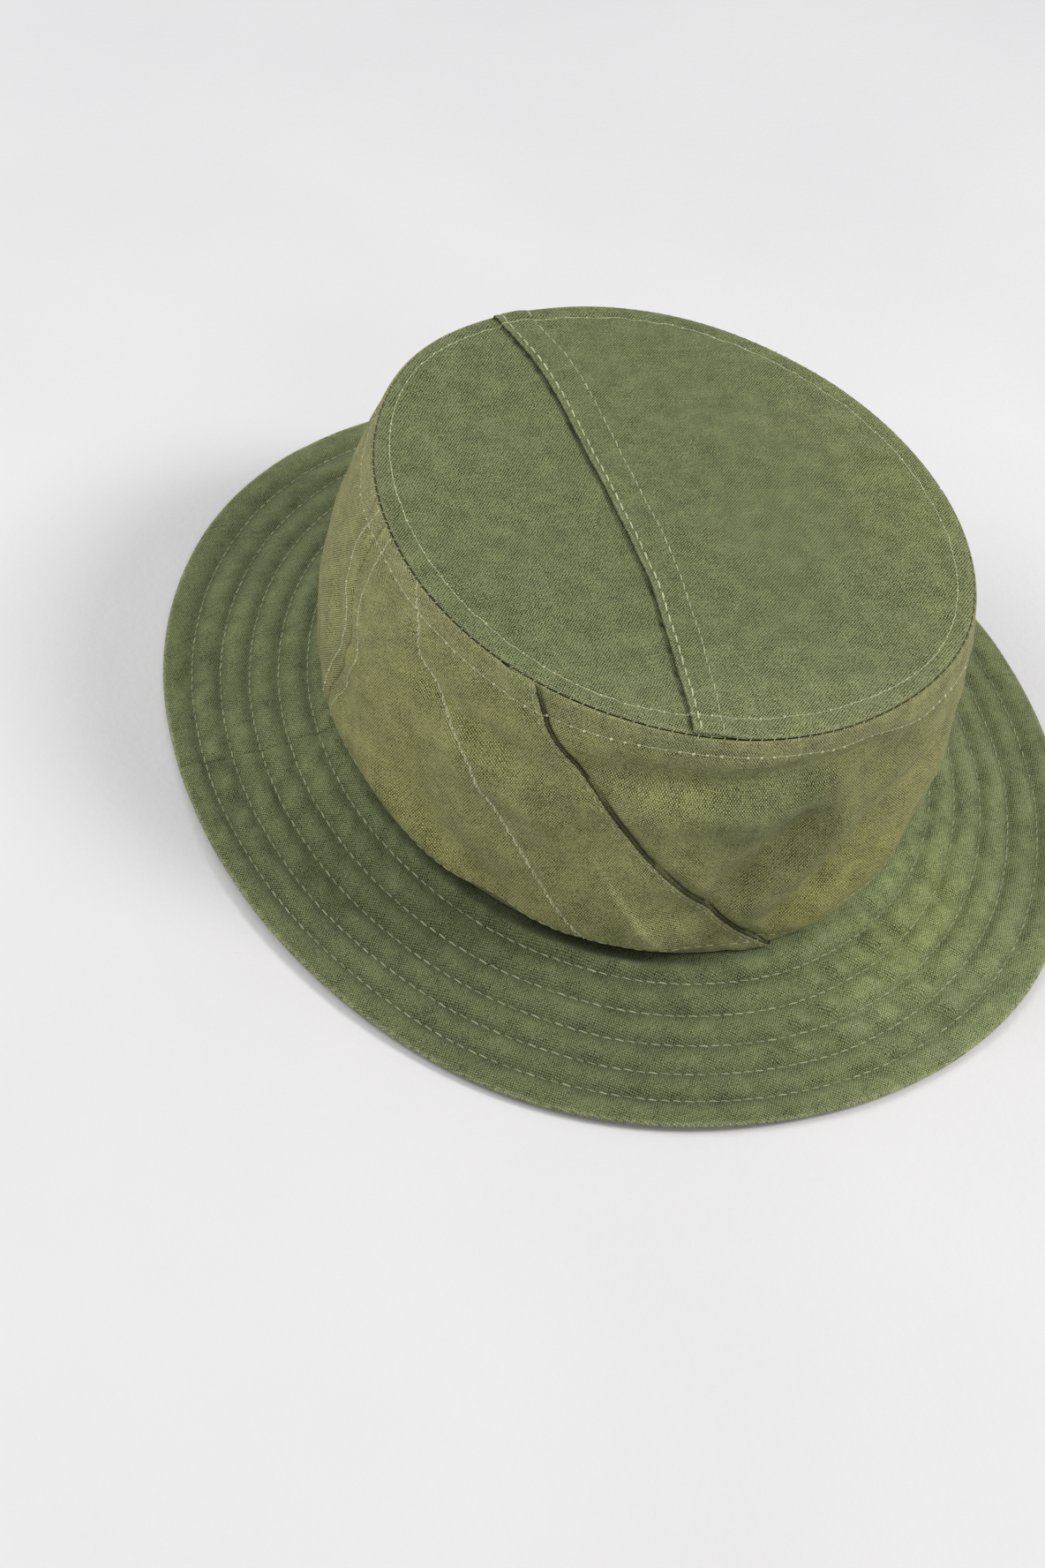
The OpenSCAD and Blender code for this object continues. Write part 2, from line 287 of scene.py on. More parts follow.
def cloth_xy(angle, up):
    """Unrolled wall coordinates in millimetres: round the wall, and up."""
    return np.radians(angle) * WALL_R / MM, up * WALL_H / MM


def wall_relief(angle, up):
    """Folds of the wall, in metres outwards."""
    out = 0
    for turn in (-360, 0, 360):
        x, y = cloth_xy(angle + turn, up)
        for start, end, width, depth in WALL_FOLDS:
            out = out - depth * along(x, y, cloth_xy(*start), cloth_xy(*end), width)
    return FOLD_DEPTH * out


def wall_row_groove(angle, up):
    """Depth of the grooves that the wall's rows of stitches press into it, in metres."""
    top = hill((up - wall_top_row(angle)) * WALL_H, 1.0 * MM) * 0.25
    foot = hill((up - wall_foot_row(angle)) * WALL_H, 1.2 * MM) * 0.3
    inner = hill(np.radians(wrap(angle - wall_inner_row(up))) * WALL_R, 1.3 * MM) * 0.35
    return (top + foot + inner) * MM


def wall(angle, up, lift=0.0, outer=1.0):
    """A point on the outside of the wall. angle in degrees, up from 0 at the brim to 1 at the tip.

    outer is 0 for the layers inside, which don't follow the overhang."""
    angle, up = np.broadcast_arrays(np.asarray(angle, float), np.asarray(up, float))
    turn = np.radians(angle)
    drop = (1 - up) * WALL_H
    roll_up, roll_out = seam_roll(drop)
    foot_out, middle_out, tip_out = (value(angle) * MM for value in stand_out)
    swell = 4 * (middle_out - (foot_out + tip_out) / 2) * up * (1 - up)
    # At the overhang the cloth starts further in, comes out a few millimetres up, and droops over its seam
    pocket = overhang(angle) * outer
    rise = up * WALL_H / MM
    tuck = ramp(rise, 1.2, 6.5)
    sewn = 1 - np.exp(-up / 0.014)
    lean = foot_out * (1 - up) * (sewn + pocket * (tuck - sewn)) + tip_out * up
    belly = 2.6 * MM * pocket * tuck * (1 - up) ** 3
    foot_seam = -0.6 * MM * np.clip(1 - up * WALL_H / (1.2 * MM), 0, 1) ** 2
    # The folds and the slack die out towards the two seams
    calm = ramp(up, 0, 0.1) * (1 - 0.9 * ramp(up, 0.88, 0.97))
    place = np.stack([WALL_R * np.cos(turn), WALL_R * np.sin(turn), 1.6 * up * WALL_H], -1) / MM
    slack = waves(place, 36, 3) * 0.6 * MM + waves(place, 15, 4) * 0.16 * MM
    folds = wall_relief(angle, up) * (0.3 + 0.7 * calm) * ramp(up, 0, 0.05) + slack * calm
    out = swell + lean + belly + foot_seam + roll_out + folds - wall_row_groove(angle, up) + lift
    half_x = BASE_X + (TIP_X - BASE_X) * up
    half_y = BASE_Y + (TIP_Y - BASE_Y) * up
    foot = seam_height(angle)
    droop = 3.0 * MM * pocket * ramp(rise, 1.5, 6.2) * (1 - ramp(rise, 6.2, 28))
    return np.stack([
        (half_x + out) * np.cos(turn),
        (half_y + out) * np.sin(turn),
        foot + (TIP_Z - foot) * up - droop + seam_pull(drop, roll_up),
    ], -1)


def tip_inset(x, y):
    """Distance of (x, y) from the tip's edge."""
    share = np.sqrt((x / TIP_X) ** 2 + (y / TIP_Y) ** 2)
    steep = np.sqrt((x / TIP_X ** 2) ** 2 + (y / TIP_Y ** 2) ** 2) / np.maximum(share, 1e-6)
    return (1 - share) / np.maximum(steep, 1e-6)


def tip_height(x, y):
    """Height of the tip's cloth without its overlap."""
    inset = tip_inset(x, y)
    inner = ramp(inset, 4 * MM, 40 * MM)
    place = np.stack([x, y], -1) / MM
    sway = waves(place, 70, 11) * 1.0 * MM + waves(place, 30, 12) * 0.3 * MM
    row = tip_row_mm(np.degrees(np.arctan2(y / TIP_Y, x / TIP_X))) * MM
    groove = 0.3 * MM * hill(inset - row, 0.9 * MM)
    pillow = 0.3 * MM * hill(inset - 3.6 * MM, 2.2 * MM)
    turn = np.arctan2(y, x)
    around = np.stack([np.cos(turn), np.sin(turn)], -1) * TIP_X / MM
    gathers = 0.3 * MM * waves(around, 9, 14, 12) * hill(inset - row - 3 * MM, 4.5 * MM)
    sway = sway * ramp(inset, SEAM_LENGTH, 25 * MM)
    hem = (pillow - groove + gathers) * ramp(inset, SEAM_LENGTH, 3 * MM)
    return TIP_Z - 0.9 * MM * inner + sway + hem + seam_roll(inset)[1]


def overlap_lift(distance):
    """Lift of an overlapping panel at a distance from its folded edge.

    It lies on the other panel's hidden edge for about 12 mm, and its two rows press grooves into it."""
    flare = 0.15 * MM * (1 - ramp(distance, 0, 6.0 * MM))
    layer = 1.0 * MM * (1 - ramp(distance, 9.5 * MM, 13.5 * MM))
    row = 0.2 * MM * hill(distance - 2.3 * MM, 0.7 * MM)
    second = 0.2 * MM * hill(distance - 10 * MM, 0.8 * MM)
    return flare + layer - row - second - rolled(distance, 0.3 * MM)


def tip(x, y, lift=0.0):
    """A point on the tip's upper face; the right panel rides over the left one."""
    x, y = np.broadcast_arrays(np.asarray(x, float), np.asarray(y, float))
    inset = tip_inset(x, y)
    turn = np.arctan2(y / TIP_Y, x / TIP_X)
    share = np.hypot(x / TIP_X, y / TIP_Y)
    out = seam_pull(inset, seam_roll(inset)[0]) + stand_out[2](np.degrees(turn)) * MM * share ** 2
    height = tip_height(x, y) + lift * ramp(inset, -0.5 * MM, 1.2 * MM)
    return np.stack([x + out * np.cos(turn), y + out * np.sin(turn), height], -1)


def brim_relief(angle, across):
    """Quilting and puckers of the brim's upper cloth, in metres."""
    rows = sum(hill((across - row) * BRIM_W, 1.5 * MM) for row in BRIM_ROWS)
    puff = 1 - sum(hill((across - row) * BRIM_W, 2.8 * MM) for row in BRIM_ROWS + [0, 1])
    turn = np.radians(angle)
    radius = WALL_R * (1 + 0.55 * across) / MM
    ring = np.stack([radius * np.cos(turn), radius * np.sin(turn)], -1)
    # The puckers run across the channels: they follow one circle, and each channel starts it elsewhere
    channel = np.floor(across * CHANNELS)
    place = turn + math.radians(-2.5) * (across * CHANNELS - channel) + 0.35 * channel
    circle = np.stack([np.cos(place), np.sin(place)], -1) * WALL_R * 1.3 / MM
    pucker = waves(circle, 7.5, 21, 14) * 0.28 + waves(circle, 14, 23, 9) * 0.28
    strong = 0.3 + 2.0 * hill(wrap(angle + 64), 24) + 0.6 * hill(wrap(angle - 60), 60)
    strong = strong + 0.6 * hill(wrap(angle + 170), 30)
    strong = strong * (0.7 + 0.5 * np.clip(waves(ring, 30, 24), -1, 1))
    seam_side = sum(hill(np.abs(across - row) * BRIM_W - 2.6 * MM, 2.2 * MM) for row in BRIM_ROWS)
    swing = waves(ring, 45, 22) * 0.3
    held = 1 - sum(hill((across - row) * BRIM_W, 1.2 * MM) for row in BRIM_ROWS)
    relief = 0.95 * puff - 0.55 * rows + pucker * strong * (0.35 + seam_side) * held * 1.1 + swing
    return np.where(relief < 0, 0.85 * np.tanh(relief / 0.85), relief) * MM


def brim_stack(across):
    """Thickness of the brim between its two faces, without the quilting."""
    return 2.6 * MM - 0.9 * MM * ramp(across, 0.65, 1.0)


def brim(angle, across, side=1, lift=0.0):
    """A point on the brim's upper (side 1) or lower (side -1) face; across is 0 at the crown."""
    angle, across = np.broadcast_arrays(np.asarray(angle, float), np.asarray(across, float))
    turn = np.radians(angle)
    reach = brim_reach(angle) * MM * np.abs(across) ** 3
    half_x = BASE_X + (EDGE_X - BASE_X) * across + reach
    half_y = BASE_Y + (EDGE_Y - BASE_Y) * across + reach
    groove = (SEAM_Z - seam_height(angle)) * (1 - ramp(across, 0.045, 0.115))
    bank = 0.9 * MM * overhang(angle) * hill(across - 0.12, 0.045)
    slope_z = EDGE_Z + (SEAM_Z - EDGE_Z) * np.abs(1 - across) ** 1.8 - groove + bank
    ripple = waves(np.stack([np.cos(turn), np.sin(turn)], -1), 1.3, 31)
    float_up = 1.3 * MM * ramp(across, 0.3, 1) * (1.5 + ripple) / 2
    relief = brim_relief(angle, across) * ramp(across, -0.02, 0.06)
    inset = (1 - across) * BRIM_W
    edge = rolled(inset, 0.85 * MM)
    height = slope_z + float_up
    # The lower cloth has the opposite, shallower relief, and the edge rolls both cloths together
    if side > 0:
        height = height + relief - edge + lift
    else:
        height = height - brim_stack(across) - 0.25 * relief + edge - lift
    return np.stack([half_x * np.cos(turn), half_y * np.sin(turn), height], -1)


# ---------------------------------------------------------------- meshes


def grid_faces(columns, rows, flip=False, closed=False):
    """Four-sided faces of a grid whose vertex (column, row) is number column * rows + row."""
    strips = columns if closed else columns - 1
    column, row = np.meshgrid(np.arange(strips), np.arange(rows - 1), indexing="ij")
    beside = (column + 1) % columns
    ring = [column * rows + row, beside * rows + row, beside * rows + row + 1, column * rows + row + 1]
    faces = np.stack(ring, -1).reshape(-1, 4)
    return faces[:, ::-1] if flip else faces


def vertex_normals(points, faces):
    """A unit vector for each vertex, from the faces around it."""
    corner = points[faces]
    if faces.shape[1] == 4:
        normal = np.cross(corner[:, 2] - corner[:, 0], corner[:, 3] - corner[:, 1])
    else:
        normal = np.cross(corner[:, 1] - corner[:, 0], corner[:, 2] - corner[:, 0])
    total = np.zeros_like(points)
    for k in range(faces.shape[1]):
        np.add.at(total, faces[:, k], normal)
    return total / np.maximum(np.linalg.norm(total, axis=1, keepdims=True), 1e-12)


def add_mesh(name, points, faces, material, values=None, uv=None):
    """A smooth mesh object that rides on the hat, with its named values and cloth coordinates."""
    mesh = bpy.data.meshes.new(name)
    mesh.from_pydata(points, [], faces)
    mesh.shade_smooth()
    for key, value in (values or {}).items():
        mesh.attributes.new(key, "FLOAT", "POINT").data.foreach_set("value", value.astype(np.float32))
    if uv is not None:
        index = np.zeros(len(mesh.loops), np.int32)
        mesh.loops.foreach_get("vertex_index", index)
        mesh.uv_layers.new(name="cloth").data.foreach_set("uv", uv[index].astype(np.float32).ravel())
    mesh.materials.append(material)
    piece = bpy.data.objects.new(name, mesh)
    bpy.context.scene.collection.objects.link(piece)
    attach(piece, "root")
    return piece


def cloth(name, points, faces, thickness, material, uv, values):
    """A closed sheet of cloth: the given face, its back one thickness behind, a rounded edge.

    The weave's coordinates go on over the edge, so that it isn't streaked there."""
    thickness = np.broadcast_to(thickness, len(points))[:, None]
    normal = vertex_normals(points, faces)
    back = points - normal * thickness
    sides = faces.shape[1]
    edges = np.concatenate([faces[:, [k, (k + 1) % sides]] for k in range(sides)])
    count = len(points)
    border = edges[~np.isin(edges[:, 0] * count + edges[:, 1], edges[:, 1] * count + edges[:, 0])]
    rim_of = np.full(count, -1)
    rims = np.unique(border)
    rim_of[rims] = np.arange(len(rims)) + 2 * count
    outward = np.zeros_like(points)
    way = np.cross(points[border[:, 1]] - points[border[:, 0]], normal[border[:, 0]])
    np.add.at(outward, border[:, 0], way)
    np.add.at(outward, border[:, 1], way)
    outward /= np.maximum(np.linalg.norm(outward, axis=1, keepdims=True), 1e-12)
    middle = (points + back)[rims] / 2 + (outward * thickness)[rims] * 0.35
    a, b = border.T
    wall_faces = np.concatenate([
        np.stack([b, a, rim_of[a], rim_of[b]], -1),
        np.stack([rim_of[b], rim_of[a], a + count, b + count], -1),
    ])
    all_faces = faces.tolist() + (faces[:, ::-1] + count).tolist() + wall_faces.tolist()
    spread = np.concatenate([np.arange(count), np.arange(count), rims])
    through = np.concatenate([0 * thickness, thickness, thickness[rims] / 2])
    values = {key: np.broadcast_to(value, count)[spread] for key, value in values.items()}
    skin = np.concatenate([points, back, middle])
    return add_mesh(name, skin, all_faces, material, values, uv[spread] + through)


def path_frames(points, normals, spacing, start, steps):
    """Points, tangents and normals at distances start + steps along a path."""
    run = np.concatenate([[0], np.cumsum(np.linalg.norm(np.diff(points, axis=0), axis=1))])
    at = start + steps * spacing
    place = np.stack([np.interp(at, run, points[:, k]) for k in range(3)], -1)
    up = np.stack([np.interp(at, run, normals[:, k]) for k in range(3)], -1)
    ahead = np.stack([np.interp(at + 0.2 * MM, run, points[:, k]) for k in range(3)], -1)
    behind = np.stack([np.interp(at - 0.2 * MM, run, points[:, k]) for k in range(3)], -1)
    tangent = ahead - behind
    tangent /= np.maximum(np.linalg.norm(tangent, axis=-1, keepdims=True), 1e-12)
    up -= tangent * (up * tangent).sum(-1, keepdims=True)
    up /= np.maximum(np.linalg.norm(up, axis=-1, keepdims=True), 1e-12)
    return place, tangent, up


def thread_tubes(place, tangent, up, radius):
    """Closed two-ply tubes, one per first index, through rings of centres: vertices and faces."""
    count, rings = place.shape[:2]
    sides = 8
    side = np.cross(tangent, up)
    phi = np.arange(sides) * 2 * math.pi / sides
    twist = np.arange(rings)[:, None] * 0.9
    ply = 1 + 0.16 * np.cos(2 * (phi[None] - twist))
    offset = np.cos(phi)[:, None] * side[:, :, None] + np.sin(phi)[:, None] * up[:, :, None]
    skin = place[:, :, None] + offset * (radius[:, :, None] * ply[None])[..., None]
    block = rings * sides
    faces = []
    ring, k = np.meshgrid(np.arange(rings - 1), np.arange(sides), indexing="ij")
    quad = np.stack([ring * sides + k, ring * sides + (k + 1) % sides,
                     (ring + 1) * sides + (k + 1) % sides, (ring + 1) * sides + k], -1).reshape(-1, 4)
    first = list(range(sides))[::-1]
    last = [block - sides + j for j in range(sides)]
    for n in range(count):
        faces += (quad + n * block).tolist()
        faces += [[j + n * block for j in first], [j + n * block for j in last]]
    return skin.reshape(-1, 3), faces


def stitch_row(points, normals, length=2.4 * MM, radius=0.25 * MM, pitch=PITCH, slant=0.08, tone=0.4,
               beads=0.0):
    """Separate stitches along a path: each comes up out of the cloth and goes down again.

    beads is the size of the knots that a loose lower thread leaves between them. Returns vertices,
    faces and each vertex's tone, from 0 for dark thread to 1 for pale."""
    total = np.linalg.norm(np.diff(points, axis=0), axis=1).sum()
    count = max(int(total / pitch), 1)
    start = (np.arange(count) + 0.5) * total / count - length / 2
    start = start + RNG.uniform(-0.12, 0.12, count) * MM
    steps = np.array([0, 0.1, 0.25, 0.5, 0.75, 0.9, 1])
    scale = RNG.uniform(0.92, 1.06, count)[:, None]
    place, tangent, up = path_frames(points, normals, length, start[:, None], steps[None] * scale)
    arch = np.sin(math.pi * steps) ** 0.5
    height = radius * (-1.0 + 1.6 * arch)
    side = np.cross(tangent, up)
    tilt = slant * (steps - 0.5) * length + RNG.uniform(-0.06, 0.06, (count, 1)) * MM
    centre = place + up * height[None, :, None] + side * tilt[..., None]
    thick = radius * (0.72 + 0.28 * arch)[None] * RNG.uniform(0.9, 1.1, (count, 1))
    skin, faces = thread_tubes(centre, tangent, up, thick)
    tones = np.repeat(tone + RNG.uniform(-0.22, 0.22, count), len(skin) // count)
    if beads:
        knot = start + length / 2 + total / count / 2
        steps = np.array([0, 0.2, 0.5, 0.8, 1])
        first = knot[:, None] - 1.1 * beads
        place, tangent, up = path_frames(points, normals, 2.2 * beads, first, steps[None])
        shape = beads * np.sqrt(np.clip(1 - (2 * steps - 1) ** 2, 0.05, 1))
        size = shape[None] * (0.45 + 0.75 * RNG.uniform(0, 1, (count, 1)) ** 1.5)
        more, more_faces = thread_tubes(place + up * 0.25 * beads, tangent, up, size)
        faces += [[j + len(skin) for j in face] for face in more_faces]
        skin = np.concatenate([skin, more])
        knot_tones = tone + RNG.uniform(0.1, 0.7, count)
        tones = np.concatenate([tones, np.repeat(knot_tones, len(more) // count)])
    return skin, faces, tones


def thread_piece(name, rows, node):
    """One piece made of several rows of stitches."""
    points, faces, tones = [], [], []
    for skin, skin_faces, tone in rows:
        offset = sum(len(p) for p in points)
        faces += [[j + offset for j in face] for face in skin_faces]
        points.append(skin)
        tones.append(tone)
    tones = {"pale": np.concatenate(tones)}
    piece = add_mesh(name, np.concatenate(points), faces, THREAD, tones)
    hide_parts(node)


# Small steps along each surface's two coordinates, to find what is square to it
WALL_STEPS = (0.1, 0.003)
BRIM_STEPS = (0.1, 0.004)
TIP_STEPS = (0.2 * MM, 0.2 * MM)


def on_surface(surface, a, b, steps, flip=False):
    """Points of a surface and the unit vectors that stand out from it."""
    a, b = np.broadcast_arrays(np.asarray(a, float), np.asarray(b, float))
    step_a, step_b = steps
    along_a = surface(a + step_a, b) - surface(a - step_a, b)
    along_b = surface(a, b + step_b) - surface(a, b - step_b)
    normal = np.cross(along_b, along_a) if flip else np.cross(along_a, along_b)
    return surface(a, b), normal / np.linalg.norm(normal, axis=-1, keepdims=True)


# ---------------------------------------------------------------- materials


def rgb(red, green, blue):
    return red, green, blue, 1.0


OLIVE_TIP = rgb(0.158, 0.182, 0.084)
OLIVE_WALL = rgb(0.240, 0.241, 0.106)
OLIVE_BRIM = rgb(0.139, 0.164, 0.078)
FADED = rgb(0.400, 0.400, 0.250)
THREAD_DARK = rgb(0.240, 0.260, 0.140)
THREAD_PALE = rgb(0.680, 0.670, 0.440)


def add_node(tree, kind, inputs=(), out=0, **settings):
    """Output number out of a new node; inputs are values or other nodes' outputs, by name or number."""
    node = tree.nodes.new(kind)
    for key, value in settings.items():
        setattr(node, key, value)
    for key, value in dict(inputs).items():
        if isinstance(value, bpy.types.NodeSocket):
            tree.links.new(value, node.inputs[key])
        else:
            node.inputs[key].default_value = value
    return node.outputs[out]


def calc(tree, operation, *values):
    return add_node(tree, "ShaderNodeMath", enumerate(values), operation=operation)


def total(tree, *values):
    """Sum of two or more values."""
    result = values[0]
    for value in values[1:]:
        result = calc(tree, "ADD", result, value)
    return result


def times(tree, a, b):
    return calc(tree, "MULTIPLY", a, b)


def centred(tree, value, middle=0.5):
    """A value moved down by its middle."""
    return calc(tree, "SUBTRACT", value, middle)


def mix(tree, share, a, b, blend_type="MIX"):
    """Colour a where share is 0, and b, or a blended with b, where it is 1."""
    inputs = {0: share, 6: a, 7: b}
    return add_node(tree, "ShaderNodeMix", inputs, out=2, data_type="RGBA", blend_type=blend_type)


def noise(tree, place, size, detail=2.0):
    """Noise from 0 to 1, whose spots are about size apart: one length, or one for each axis."""
    size = (size, size, size) if isinstance(size, float) else size
    scaled = add_node(tree, "ShaderNodeVectorMath", {0: place, 1: size}, operation="DIVIDE")
    return add_node(tree, "ShaderNodeTexNoise", {"Vector": scaled, "Scale": 1.0, "Detail": detail})


def spread_out(tree, value, low, high):
    """0 where value is low, 1 where it is high."""
    return add_node(tree, "ShaderNodeMapRange", {0: value, 1: low, 2: high})


def attribute(tree, name):
    return add_node(tree, "ShaderNodeAttribute", out=2, attribute_name=name)


def new_material(name, roughness, sheen):
    """A soft fabric material: its tree and its shader."""
    material = bpy.data.materials.new(name)
    material.use_nodes = True
    shader = material.node_tree.nodes["Principled BSDF"]
    shader.inputs["Roughness"].default_value = roughness
    shader.inputs["Sheen Weight"].default_value = sheen
    shader.inputs["Sheen Roughness"].default_value = 0.45
    shader.inputs["Specular IOR Level"].default_value = 0.22
    return material, material.node_tree, shader


def bump(tree, shader, height, depth, strength=0.7):
    normal = add_node(tree, "ShaderNodeBump", {"Strength": strength, "Distance": depth, "Height": height})
    tree.links.new(normal, shader.inputs["Normal"])


def weave(tree, place, pitch):
    """A plain weave of uneven threads. Returns its height from 0 to 1, how far the lengthwise thread is
    on top (about -1.5 to 1.5), and the tone of the thread on top, from -0.5 to 0.5."""
    split = add_node(tree, "ShaderNodeSeparateXYZ", {0: place}).node
    turns, tones, numbers = [], [], []
    for axis, size in ((0, (2.5 * pitch, 14 * pitch, 1.0)), (1, (14 * pitch, 2.5 * pitch, 1.0))):
        wander = times(tree, noise(tree, place, size, 2.0), 1.5)
        at = total(tree, calc(tree, "DIVIDE", split.outputs[axis], pitch), wander)
        turns.append(calc(tree, "SINE", times(tree, at, math.pi)))
        numbers.append(calc(tree, "FLOOR", at))
        tones.append(add_node(tree, "ShaderNodeTexWhiteNoise", {"W": numbers[-1]}, noise_dimensions="1D"))
    crossing = add_node(tree, "ShaderNodeCombineXYZ", enumerate(numbers))
    chance = add_node(tree, "ShaderNodeTexWhiteNoise", {"Vector": crossing}, noise_dimensions="2D")
    over = times(tree, *turns)
    height = calc(tree, "POWER", calc(tree, "ABSOLUTE", over), 0.85)
    chosen = times(tree, calc(tree, "GREATER_THAN", over, 0.0), calc(tree, "SUBTRACT", *tones))
    tone = centred(tree, total(tree, tones[1], chosen))
    return height, times(tree, over, total(tree, times(tree, chance, 1.1), 0.4)), tone


def dyed_cloth(tree, place, colour, lighter, over):
    """The cloth's colour before wear: from the weave, a share from 0 to 1, the dye's zones, and painted
    light and shade.
    """
    red, green, blue = colour[:3]
    # From dark, painted shade in the gaps between threads, to light, a painted highlight on their crowns;
    # the threads' own tones lie between
    dark = rgb(0.24 * red, 0.25 * green, 0.24 * blue)
    light = rgb(2.0 * red, 2.0 * green, 1.95 * blue)
    plain = mix(tree, spread_out(tree, lighter, 0.0, 1.0), dark, light)
    dyed = mix(tree, spread_out(tree, over, -0.3, 0.6), plain, rgb(1.14, 1.12, 1.05), "MULTIPLY")
    patches = times(tree, centred(tree, noise(tree, place, 45 * MM, 3.0)), 0.7)
    tint = total(tree, attribute(tree, "tint"), patches)
    yellow = mix(tree, spread_out(tree, tint, 0.0, 1.0), dyed, rgb(1.12, 1.08, 0.90), "MULTIPLY")
    greener = mix(tree, spread_out(tree, tint, 0.0, -1.0), yellow, rgb(0.80, 0.88, 0.92), "MULTIPLY")
    # Painted light and shade: the colour is scaled lighter or darker where the mesh's values say so
    painted_light_and_shade = total(tree, attribute(tree, "painted_light_and_shade"), 1.0)
    return add_node(tree, "ShaderNodeVectorMath", {0: greener, "Scale": painted_light_and_shade}, operation="SCALE")


def worn_cloth(tree, place, colour):
    """A cloth's colour rubbed pale where its "wear" is high, with pale specks and dark slubs."""
    patchy = spread_out(tree, noise(tree, place, 1.6 * MM, 4.0), 0.30, 0.62)
    rub = times(tree, attribute(tree, "wear"), patchy)
    bleached = mix(tree, rub, colour, rgb(1.7, 1.65, 1.75), "MULTIPLY")
    worn = mix(tree, times(tree, rub, 0.4), bleached, FADED)
    specks = spread_out(tree, noise(tree, place, (1.1 * MM, 0.8 * MM, 1.0), 1.0), 0.74, 0.80)
    flecked = mix(tree, times(tree, specks, 0.6), worn, rgb(0.42, 0.42, 0.26))
    slub_dots = spread_out(tree, noise(tree, place, (0.9 * MM, 2.6 * MM, 1.0), 1.0), 0.27, 0.21)
    return mix(tree, times(tree, slub_dots, 0.35), flecked, rgb(0.045, 0.052, 0.025))


def canvas(name, colour, pitch, contrast, sheen=0.06):
    """Washed cotton canvas with threads a pitch apart."""
    material, tree, shader = new_material(name, 0.9, sheen)
    place = add_node(tree, "ShaderNodeUVMap", uv_map="cloth")
    height, over, tone = weave(tree, place, pitch)
    slubs = centred(tree, noise(tree, place, (14 * pitch, 1.3 * pitch, 1.0), 3.0))
    fuzz = centred(tree, noise(tree, place, 1.7 * pitch, 2.0))
    uneven = total(tree, times(tree, tone, 0.12), times(tree, slubs, 0.4), times(tree, fuzz, 1.15))
    # Which thread lies on top, with painted shading of the weave: raised crowns lighter, the gaps between
    # threads darker
    crown_light_gap_shade = total(tree, times(tree, over, 0.8), centred(tree, height, 0.47))
    grain = total(tree, times(tree, uneven, contrast), times(tree, crown_light_gap_shade, 1.05 * contrast))
    mottle = times(tree, centred(tree, noise(tree, place, 7 * MM, 6.0)), 0.7)
    dyed = dyed_cloth(tree, place, colour, total(tree, grain, mottle, 0.5), over)
    tree.links.new(worn_cloth(tree, place, dyed), shader.inputs["Base Color"])
    coarse = times(tree, noise(tree, place, 3.5 * MM, 3.0), 0.8)
    bump(tree, shader, total(tree, height, slubs, coarse), 0.2 * MM)
    tree.links.new(calc(tree, "MULTIPLY_ADD", height, 0.13, 0.845), shader.inputs["Roughness"])
    return material


def twill(name, colour, light):
    """Cotton twill tape with slanted ribs."""
    material, tree, shader = new_material(name, 0.75, 0.15)
    place = add_node(tree, "ShaderNodeUVMap", uv_map="cloth")
    split = add_node(tree, "ShaderNodeSeparateXYZ", {0: place}).node
    slanted = total(tree, split.outputs[0], split.outputs[1])
    rib = spread_out(tree, calc(tree, "SINE", times(tree, slanted, 2 * math.pi / (1.3 * MM))), -1.0, 1.0)
    mottle = noise(tree, place, (0.5 * MM, 5 * MM, 1.0), 4.0)
    share = total(tree, times(tree, rib, 0.55), times(tree, mottle, 0.6))
    tree.links.new(mix(tree, share, colour, light), shader.inputs["Base Color"])
    bump(tree, shader, total(tree, rib, mottle), 0.22 * MM)
    return material


def felt(name, colour):
    """Pale bonded fibres, without a weave."""
    material, tree, shader = new_material(name, 0.95, 0.3)
    place = add_node(tree, "ShaderNodeUVMap", uv_map="cloth")
    fibres = noise(tree, place, (0.4 * MM, 1.6 * MM, 1.0), 6.0)
    shaded = rgb(*[0.7 * part for part in colour[:3]])
    tree.links.new(mix(tree, fibres, shaded, colour), shader.inputs["Base Color"])
    bump(tree, shader, fibres, 0.3 * MM)
    return material


def sewing_thread(name):
    """Spun thread: its tone differs from stitch to stitch, with fine twisted fibres."""
    material, tree, shader = new_material(name, 0.7, 0.2)
    place = add_node(tree, "ShaderNodeTexCoord", out=3)
    fibres = noise(tree, place, 0.28 * MM, 4.0)
    share = total(tree, attribute(tree, "pale"), times(tree, centred(tree, fibres), 0.7))
    tree.links.new(mix(tree, share, THREAD_DARK, THREAD_PALE), shader.inputs["Base Color"])
    bump(tree, shader, fibres, 0.08 * MM)
    return material


CANVAS_TIP = canvas("canvas_tip", OLIVE_TIP, 0.45 * MM, 0.95)
CANVAS_WALL = canvas("canvas_wall", OLIVE_WALL, 0.41 * MM, 0.78)
CANVAS_BRIM = canvas("canvas_brim", OLIVE_BRIM, 0.44 * MM, 0.65)
COTTON_LINING = canvas("cotton_lining", rgb(0.30, 0.30, 0.19), 0.36 * MM, 0.5, 0.05)
BAND_TWILL = twill("band_twill", rgb(0.10, 0.11, 0.06), rgb(0.24, 0.25, 0.14))
FELT = felt("interlining_felt", rgb(0.55, 0.54, 0.46))
THREAD = sewing_thread("sewing_thread")
